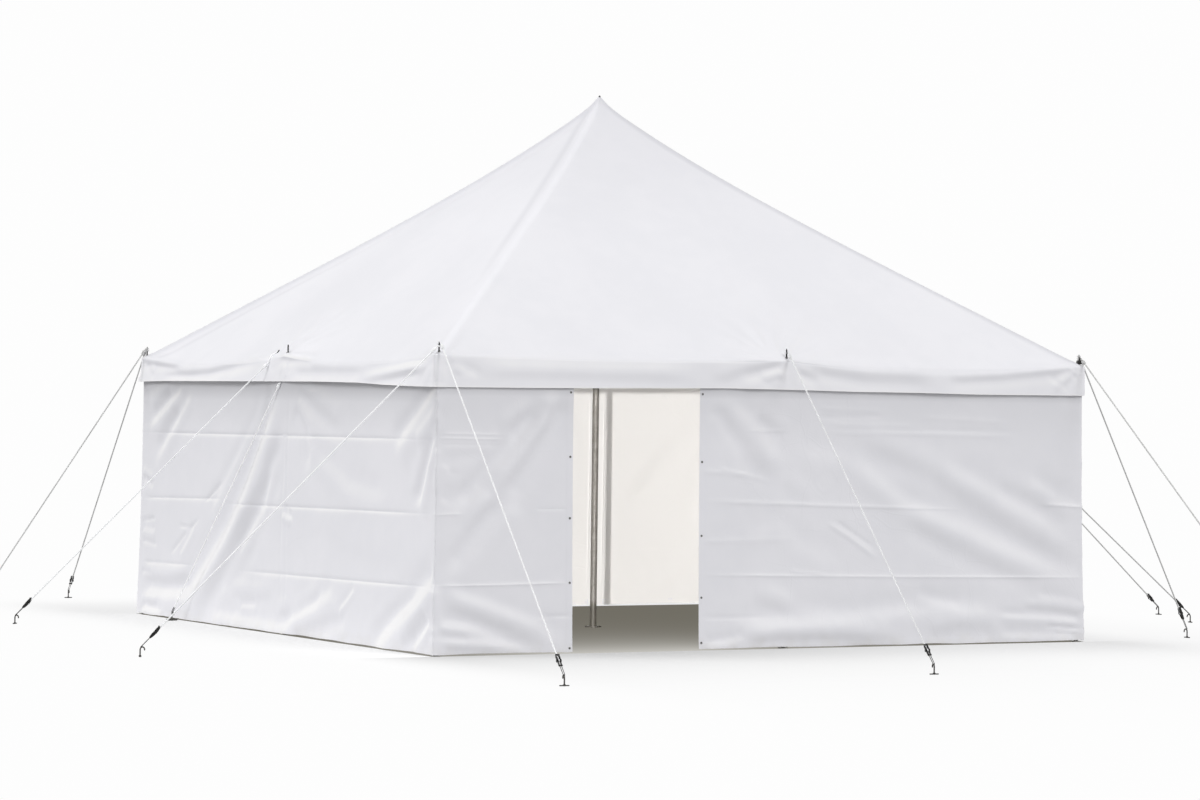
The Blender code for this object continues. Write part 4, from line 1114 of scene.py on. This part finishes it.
def ropeRoute(name):  # returns the rope's points, the peg's foot and the direction up the rope
    sizes = ropeSizes
    if name in tiedRopes:
        start, anchor = tiedRopes[name]
        points, start = [], Vector(start)
        if name == "left_middle":  # it comes from an eyelet in the roof and lies over the eave
            way = np.linspace(0, 1, 9)
            u, down = [first + run * way for first, run in zip(sizes["tieStart"], sizes["tieRun"])]
            *points, start = [Vector(place) for place in canopySurface("left", u, down, 0 * way, sizes["tieLift"])]
    else:
        pole, height, anchor = guyPlaces[name]
        x, y = polePlaces[pole]
        centre = Vector((x, y, height))
        ahead = Vector((anchor[0] - x, anchor[1] - y, 0)).normalized()
        aside = Vector((-ahead.y, ahead.x, 0))
        angles = [math.radians(degrees) for degrees in range(200, -21, -20)]
        points = [centre + sizes["hookRound"] * (math.cos(a) * aside - math.sin(a) * ahead) for a in angles]
        start = centre + sizes["hookRound"] * aside + ahead * sizes["hookLead"]
    foot = Vector((*anchor, 0))
    head = foot + upright * sizes["pegHead"]
    line = (start - head).normalized()
    return points + [start, head + line * sizes["plainLink" if name in plainPegs else "spool"]], foot, line


def whipping(start, line):  # the turns of thread that close the eye at the top of a rope
    sizes, perTurn = ropeSizes, 12
    side = line.orthogonal().normalized()
    other = line.cross(side)
    steps, points = perTurn * sizes["whipTurns"], []
    for step in range(steps + 1):
        angle, along = 2 * math.pi * step / perTurn, sizes["whipStart"] + sizes["whipLength"] * step / steps
        points.append(start - line * along + sizes["whipRound"] * (math.cos(angle) * side + math.sin(angle) * other))
    return points


def layRope(name, pieces=24):
    route, foot, line = ropeRoute(name)
    *hook, start, end = route
    points = [*hook, start, *[start.lerp(end, step / pieces) for step in range(1, pieces)], end]
    wraps = whipping(start, line)
    edges = [(step, step + 1) for step in range(len(points) + len(wraps) - 1) if step != len(points) - 1]
    base = plainObject("ropeLine", points + wraps, edges)
    return grown(f"guy_rope_{name}_twisted", base, twistedRope, {
        "Radius": ropeSizes["radius"], "Lay Length": ropeSizes["layLength"], "Step": ropeSizes["step"],
        "Material": ropeFibres.get(name, ropeFibre),
    })


twistedRope = ropeTree()
ropes = {name: layRope(name) for name in [*guyPlaces, *tiedRopes]}
print("scene: ropes laid,", len(ropes["near_front"].data.polygons), "faces each")


# ---- ground anchors: peg, link and ratchet ----

anchorSizes = {
    "rod": 0.0046, "linkRod": 0.0022, "linkStart": 0.004, "linkEnd": 0.094, "linkHalf": 0.0050, "bodyStart": 0.085,
    "bodyEnd": 0.176, "bodyHalf": 0.0095, "plateGap": 0.0085, "plateThick": 0.0022, "spool": 0.0058, "wheel": 0.0112,
    "teeth": 14, "footBar": 0.031, "barHeight": 0.0042, "barRounds": (0.002, 0.0038, 0.0038, 0.002), "plainBar": 2.1,
    "hookHeight": 0.046, "hookRound": 0.014, "hookRise": 0.018, "bevel": 0.0006,
}


def linkRing(start, end, half, rod, count=28):  # a long ring of bent rod
    path = []
    for step in range(count):
        angle = 2 * math.pi * step / count
        straight = ((end - start) / 2 - half) * np.sign(math.cos(angle)) * min(1, abs(math.cos(angle)) * 3)
        path.append(((start + end) / 2 + straight + half * math.cos(angle), half * math.sin(angle), 0))
    return closedSweep(path, rod)


def ratchetParts(sizes):  # built along +x with +z up from the rope
    start, end, half = sizes["bodyStart"], sizes["bodyEnd"], sizes["bodyHalf"]
    gap, thick, axle = sizes["plateGap"], sizes["plateThick"], ropeSizes["spool"]
    body = [(start, -half * 0.5), (start + 0.010, -half * 0.75), (axle - 0.020, -half), (axle + 0.014, -half),
            (end, -half * 0.35), (end, half * 0.35), (axle + 0.016, half), (axle - 0.020, half),
            (start + 0.010, half * 0.75), (start, half * 0.5)]
    handle = [(axle - 0.004, -0.008), (axle + 0.026, -0.004), (end + 0.004, 0.003), (end + 0.006, 0.010),
              (axle + 0.020, 0.011), (axle - 0.004, 0.009)]
    wheel = []
    for tooth in range(sizes["teeth"] * 2):
        angle, radius = math.pi * tooth / sizes["teeth"], sizes["wheel"] * (1.0 if tooth % 2 else 0.82)
        wheel.append((axle + radius * math.cos(angle), radius * math.sin(angle)))
    bars = [(start + 0.008, 0, 0.0045), (end - 0.010, 0, 0.0042), (axle, 0, sizes["spool"]),
            (end + 0.001, 0.009, 0.0048)]  # place, height and radius of each cross bar
    outlines = [(body, gap, gap - thick), (handle, gap + 0.0012, gap + 0.0012 + thick),
                (wheel, gap + 0.0040, gap + 0.0060)]
    parts = [[plate(outline, side * low, side * high) for side in (-1, 1)] for outline, low, high in outlines]
    reach = gap + 0.004
    parts.insert(2, [sweep([(x, -reach, z), (x, reach, z)], radius, 14) for x, z, radius in bars])
    return sum(parts, []) + [linkRing(sizes["linkStart"], sizes["linkEnd"], sizes["linkHalf"], sizes["linkRod"])]


def pegFrame(name):  # the peg's foot and head, then the ways up the rope, along the ground, sideways and upright
    route, foot, line = ropeRoute(name)
    flat = Vector((line.x, line.y, 0)).normalized()
    side = upright.cross(flat)
    up = side.cross(line).normalized()
    return foot, foot + upright * ropeSizes["pegHead"], line, flat, side, up if up.z > 0 else -up


def buildAnchor(name, sizes=anchorSizes):
    foot, head, line, flat, side, up = pegFrame(name)
    turn = Matrix((line, up.cross(line), up)).transposed()
    plain = name in plainPegs
    link = linkRing(sizes["linkStart"], ropeSizes["plainLink"] + 0.004, sizes["linkHalf"], sizes["linkRod"] * 1.3)
    points, faces = joinParts([link] if plain else ratchetParts(sizes))
    points = [head + turn @ Vector(point) for point in points]
    # the peg stands in the ground and hooks back over the link
    path = [foot + upright * z for z in (0.0, 0.015, 0.03, 0.044)]
    for angle in [math.radians(degrees) for degrees in range(15, 196, 15)]:
        over = foot + upright * sizes["hookHeight"] + sizes["hookRound"] * (1 - math.cos(angle)) * flat
        path.append(over + upright * (sizes["hookRise"] * math.sin(angle)))
    radii = [sizes["rod"]] * (len(path) - 2) + [sizes["rod"] * 0.92, sizes["rod"] * 0.6]
    thick = sizes["plainBar"] if plain else 1.0
    across, lift = side * sizes["footBar"] * math.sqrt(thick), upright * (sizes["barHeight"] * thick)
    bar = sweep([foot + across * s + lift for s in (-1, -0.9, 0.9, 1)], [thick * r for r in sizes["barRounds"]], 10)
    collar = sweep([foot + upright * z for z in (0.001, 0.003, 0.010, 0.012)], [0.007, 0.009, 0.009, 0.006], 14)
    allPoints, allFaces = joinParts([(points, faces), sweep(path, radii), bar, collar])
    made = addMesh(f"anchor_{name}_fitted", allPoints, allFaces, blackSteel)
    made.data.materials.append(pegSteel)
    for face in made.data.polygons[len(faces):]:
        face.material_index = 1
    return mendNormals(made, sizes["bevel"])


anchors = {name: buildAnchor(name) for name in ropes}
print("scene: anchors fitted,", len(anchors["near_front"].data.polygons), "faces each")


# ---- dark collar that holds the sheet down at the right corner's spike ----

collarSizes = {
    "radius": 0.019, "low": 1.946, "high": 1.974, "sides": 16,
    "steps": ((0.0, 0.92), (0.12, 1.0), (0.75, 1.0), (1.0, 0.80)),  # share of its height, share of its radius
}


def buildCollar(sizes):
    low, height = sizes["low"], sizes["high"] - sizes["low"]
    path = [(*polePlaces["right"], low + height * rise) for rise, width in sizes["steps"]]
    points, faces = sweep(path, [sizes["radius"] * width for rise, width in sizes["steps"]], sizes["sides"])
    return mendNormals(addMesh("corner_collar", points, faces, blackSteel))


collar = buildCollar(collarSizes)


# ---- rope wound on the ratchet spools ----

def spoolWinding(name, perTurn=16):  # turns of rope between the side plates
    foot, head, line, flat, across, up = pegFrame(name)
    sizes, path = ropeSizes, []
    centre, steps, width = head + line * sizes["spool"], sizes["windTurns"] * perTurn, sizes["windWidth"]
    for step in range(steps + 1):
        angle, aside = 2 * math.pi * step / perTurn, width / 2 - width * step / steps
        path.append(centre + across * aside + sizes["windRound"] * (math.cos(angle) * line + math.sin(angle) * up))
    points, faces = sweep(path, sizes["windRope"], 8)
    return mendNormals(addMesh(f"guy_rope_{name}_winding", points, faces, ropeFibre))


windings = {name: spoolWinding(name) for name in ropes if name not in plainPegs}


# ---- eyelets ----

eyeletSizes = {
    "ring": 0.0062, "rim": 0.0017, "hole": 0.0006, "doorInset": 0.020, "lift": 0.001, "roofSize": 1.2, "tieSize": 2.0,
    "tiePlace": (-0.15, -0.088), "aboveEave": 0.030,
    "onLeft": (1.70, 1.28, 0.88, 0.46, 0.035), "onRight": (1.70, 1.25, 0.76, 0.35, 0.050),
}


def eyeletRing(sizes, count=16):  # a rolled rim round a dark disc, a painted shade that stands for the hole
    ring, rim = sizes["ring"], sizes["rim"]
    circle = [(ring * math.cos(a), ring * math.sin(a)) for a in np.linspace(0, 2 * math.pi, count + 1)[:-1]]
    shadeDisc = [Vector((x, y, sizes["hole"])) for x, y in circle]
    rimPart = closedSweep([(x, y, rim * 0.4) for x, y in circle], rim, 6)
    points, faces = joinParts([rimPart, (shadeDisc, [list(range(count))])])
    return plainObject("ringShape", points, [], faces)


def eyeletsAt(name, places, size, finish=eyeletSteel):
    base = plainObject("eyeletPoints", [place for place, facing in places], [])
    attribute = base.data.attributes.new("facing", "FLOAT_VECTOR", "POINT")
    attribute.data.foreach_set("vector", np.array([facing for place, facing in places], np.float32).ravel())
    return grown(name, base, eyelets, {"Ring": ringShape, "Size": size, "Material": finish})


def surfaceSpot(surface, side, u, v, lift, step=0.004):  # a point on a sheet and the way it faces there
    grid = surface(side, np.array([u, u + step, u]), np.array([v, v, v + step]), np.zeros(3))
    facing = np.cross(grid[1] - grid[0], grid[2] - grid[0])
    facing /= np.linalg.norm(facing)
    outward = np.array([*sides[side]["outward"], 0.6])
    facing = facing if facing @ outward > 0 else -facing
    return grid[0] + facing * lift, facing


def cornerSpot(side, pole, up):  # above a corner pole the eyelet lies across the hip
    x, y = polePlaces[pole]
    z = float(canopySurface(side, np.array([-eaveOut]), np.array([up]), np.array([0.0]))[0][2])
    facing = np.array([0.25 * np.sign(x), 0.25 * np.sign(y), 0.9])
    return np.array([x, y, z + eyeletSizes["lift"]]), facing / np.linalg.norm(facing)


eyelets, ringShape = eyeletTree(), eyeletRing(eyeletSizes)
for name, (side, low, high, step) in wallPanels.items():
    inset = eyeletSizes["doorInset"]
    doorEdges = ((low, inset, eyeletSizes["onRight"]), (high, -inset, eyeletSizes["onLeft"]))
    spots = [surfaceSpot(wallSurface, side, edge + toward, height, hemSizes["lift"])
             for edge, toward, heights in doorEdges if edge is not None for height in heights]
    if spots:
        eyeletsAt(f"{name}_eyelets", spots, 1.0)
backUp = -eyeletSizes["aboveEave"] / math.cos(canopySizes["roofSlope"])
roofSpots = []
for side, pole in (("front", "near"), ("right", "right"), ("back", "rear"), ("left", "left")):
    roofSpots.append(cornerSpot(side, pole, backUp))
    roofSpots.append(surfaceSpot(canopySurface, side, sides[side]["middle"], backUp, eyeletSizes["lift"]))
roofEyelets = eyeletsAt("canopy_eyelets", roofSpots, eyeletSizes["roofSize"])
tieSpot = surfaceSpot(canopySurface, "left", *eyeletSizes["tiePlace"], eyeletSizes["lift"])
tieEyelet = eyeletsAt("tie_eyelet", [tieSpot], eyeletSizes["tieSize"], blackSteel)
bpy.data.objects.remove(ringShape)
print("scene: eyelets set")


# ---- poles keep their solids and get their finish ----

poleFinishes = {"side_pole": poleSteel, "centre_pole": centreSteel}
for name, node in nodes.items():
    for start, finish in poleFinishes.items():
        if name.startswith(start):
            node.data.materials.clear()
            node.data.materials.append(finish)


# ---- what stands for what ----

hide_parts("roof_front", "roof_right", "roof_back", "roof_left", "peak_cap",
            "valance_front", "valance_right", "valance_back", "valance_left")
for name, made in walls.items():
    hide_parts(name)
for name, made in ropes.items():
    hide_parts(f"guy_rope_{name}")
for name, made in anchors.items():
    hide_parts(f"anchor_{name}")
for name, made in allPieces.items():
    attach(made, "root")


# ---- floor, light and camera ----

stageLook = {
    "floorSize": 60.0, "white": 0.985, "shadowShare": 0.75, "shadowReach": 2.6, "floorTone": 0.90, "floorLift": 0.058,
    "threshold": (-1.53, -0.58, -2.53), "bounce": 0.60, "leftBounce": 0.30, "leftReach": 1.3,
    "frontShade": 0.56, "frontFade": 1.0, "insideDark": (0.165, 0.155, 0.128), "insideGlow": 0.385,
    "insideFade": 0.90, "insideEdge": 2.548, "footLine": 2.55, "horizon": 0.53, "zenith": 0.55,
    "sideSoft": {"from": (-1.16, 0.47, 0.785), "power": 1.48, "angle": 26.0},
    "frontSoft": {"from": (0.38, -0.88, 0.785), "power": 1.24, "angle": 26.0},
    "doorTurn": 30.6, "doorRise": 0.16, "doorColour": (1.0, 0.984, 0.976),
    "doorPower": 1.90, "doorAngle": 0.35, "fillPower": 1.24, "fillAngle": 6.0,
}


def emptyNodes(holder):
    holder.use_nodes = True
    holder.node_tree.nodes.clear()
    return holder.node_tree


def buildFloor(look):
    size, foot = look["floorSize"], look["footLine"]
    corners = [(-size, -size, 0), (size, -size, 0), (size, size, 0), (-size, size, 0)]
    made = plainObject("studio_floor", corners, [], [(0, 1, 2, 3)])
    made.data.materials.append(bpy.data.materials.new("studioFloor"))
    tree = emptyNodes(made.data.materials[0])

    def calc(operation, *values):
        return mathNode(tree, operation, *values)

    def product(result, *others):
        for other in others:
            result = calc("MULTIPLY", result, other)
        return result

    def atLeastZero(value):
        return calc("MAXIMUM", value, 0.0)

    def ramp(value, *ends):
        return rangeNode(tree, value, *ends)

    def glow(strength, colour=(1, 1, 1)):
        return addNode(tree, "ShaderNodeEmission", Color=(*colour, 1), Strength=strength).outputs[0]

    def matt(*colour):
        return addNode(tree, "ShaderNodeBsdfDiffuse", Color=(*colour, 1)).outputs[0]

    def both(first, second):
        return addNode(tree, "ShaderNodeAddShader", i0=first, i1=second).outputs[0]

    def blend(share, first, second):
        return addNode(tree, "ShaderNodeMixShader", i0=share, i1=first, i2=second).outputs[0]

    place = addNode(tree, "ShaderNodeTexCoord").outputs["Object"]
    split = addNode(tree, "ShaderNodeSeparateXYZ", Vector=place).outputs
    x, y = split["X"], split["Y"]
    reach = calc("MAXIMUM", calc("ABSOLUTE", x), calc("ABSOLUTE", y))
    outside = ramp(reach, look["insideEdge"] - 0.006, look["insideEdge"] + 0.002)
    # painted light and shade: the ground inside is a dark glow, and a painted pool of daylight falls in over the
    # threshold and fades with the distance from it
    low, high, sill = look["threshold"]
    aside = atLeastZero(calc("MAXIMUM", calc("SUBTRACT", low, x), calc("SUBTRACT", x, high)))
    deep = atLeastZero(calc("SUBTRACT", y, sill))
    away = calc("SQRT", calc("ADD", calc("MULTIPLY", aside, aside), calc("MULTIPLY", deep, deep)))
    spill = calc("MULTIPLY", calc("EXPONENT", calc("DIVIDE", away, -look["insideFade"])), look["insideGlow"])
    within = both(glow(1.0, look["insideDark"]), glow(spill, (1, 0.99, 0.97)))
    # the ground takes shadows near the tent, and is evenly white further out
    near = both(matt(*[look["floorTone"]] * 3), glow(look["floorLift"]))
    share = ramp(reach, foot, foot + look["shadowReach"], look["shadowShare"], 0.0)
    share = product(ramp(x, -3.5, -2.6, 0.1, 1.0), ramp(x, foot, 3.5, 1.0, 0.35), share)
    ground = blend(share, glow(look["white"]), near)
    # painted shadow: the ground in front is dimmer close to the sheet, most at the door end
    ahead = atLeastZero(calc("SUBTRACT", -look["insideEdge"], y))
    shade = calc("EXPONENT", calc("DIVIDE", ahead, -look["frontFade"]))
    shade = product(shade, ramp(x, -0.6, 1.6, 0.75, 0.28), ramp(x, -3.2, -2.45))
    shade = product(shade, calc("GREATER_THAN", ahead, 0.0001), ramp(x, foot, 3.1, 1.0, 0.0))
    seen = blend(outside, within, blend(shade, ground, glow(look["frontShade"])))
    # what the ground throws back on the pieces: little inside, most on the sunlit left
    sunlit = ramp(x, -foot - look["leftReach"], -foot, look["bounce"], look["bounce"] + look["leftBounce"])
    sunlit = calc("SUBTRACT", sunlit, calc("MULTIPLY", calc("GREATER_THAN", x, -plan["poleLine"]), look["leftBounce"]))
    unseen = blend(outside, matt(0.35, 0.34, 0.31), glow(sunlit))
    eye = addNode(tree, "ShaderNodeLightPath").outputs["Is Camera Ray"]
    addNode(tree, "ShaderNodeOutputMaterial", Surface=blend(eye, unseen, seen))
    return made


def buildWorld(look):
    scene.world = bpy.data.worlds.new("studioSky")
    tree = emptyNodes(scene.world)
    place = addNode(tree, "ShaderNodeTexCoord").outputs["Generated"]
    up = addNode(tree, "ShaderNodeSeparateXYZ", Vector=place).outputs["Z"]
    strengths = (rangeNode(tree, up, 0.0, 0.9, look["horizon"], look["zenith"]), look["white"])
    dome, seen = [addNode(tree, "ShaderNodeBackground", Color=(1, 1, 1, 1), Strength=value) for value in strengths]
    eye = addNode(tree, "ShaderNodeLightPath").outputs["Is Camera Ray"]
    sky = addNode(tree, "ShaderNodeMixShader", i0=eye, i1=dome.outputs[0], i2=seen.outputs[0])
    addNode(tree, "ShaderNodeOutputWorld", Surface=sky.outputs[0])


def addSun(name, fromDirection, power, angle, colour=(1, 1, 1)):
    data = bpy.data.lights.new(name, "SUN")
    data.energy, data.angle, data.color = power, math.radians(angle), colour
    made = bpy.data.objects.new(name, data)
    made.rotation_euler = Vector(fromDirection).to_track_quat("Z", "Y").to_euler()
    scene.collection.objects.link(made)
    return made


def linkLight(light, receivers, blockers):  # this light reaches only the receivers, and only the blockers shade it
    for kind, members in (("receiver", receivers), ("blocker", blockers)):
        group = bpy.data.collections.new(light.name + kind)
        for member in members:
            group.objects.link(member)
        setattr(light.light_linking, kind + "_collection", group)


buildFloor(stageLook)
buildWorld(stageLook)
for name in ("sideSoft", "frontSoft"):
    addSun(name, stageLook[name]["from"], stageLook[name]["power"], stageLook[name]["angle"])
turn, rise = math.radians(stageLook["doorTurn"]), math.radians(stageLook["doorRise"])
doorFrom = (-math.sin(turn) * math.cos(rise), -math.cos(turn) * math.cos(rise), math.sin(rise))
seenThroughDoor = [walls["wall_back"], *wallHems["wall_back"], nodes["centre_pole"]]
doorSuns = (("doorLight", "door", [nodes["centre_pole"], canopy]), ("doorFill", "fill", [anchors["back_middle"]]))
for name, start, blockers in doorSuns:
    light = addSun(name, doorFrom, stageLook[start + "Power"], stageLook[start + "Angle"], stageLook["doorColour"])
    linkLight(light, seenThroughDoor, blockers)

view = {  # fitted to the photograph
    "place": (-13.316, -24.577, 1.639), "yaw": -28.512, "roll": 0.71, "lens": 115.14, "shiftY": 0.00175,
}


def buildCamera(view):
    data = bpy.data.cameras.new("photoView")
    data.sensor_width, data.lens, data.shift_y = 36.0, view["lens"], view["shiftY"]
    data.clip_end = 200.0
    yaw, roll = math.radians(view["yaw"]), math.radians(view["roll"])
    ahead = Vector((-math.sin(yaw), math.cos(yaw), 0))
    level = Vector((math.cos(yaw), math.sin(yaw), 0))
    right = level * math.cos(roll) + level.cross(ahead) * math.sin(roll)
    above = right.cross(ahead)
    made = bpy.data.objects.new("photoView", data)
    made.matrix_world = Matrix.Translation(view["place"]) @ Matrix((right, above, -ahead)).transposed().to_4x4()
    scene.collection.objects.link(made)
    scene.camera = made


buildCamera(view)
scene.view_settings.view_transform = "Standard"
scene.view_settings.look = "None"

print("scene: finished")
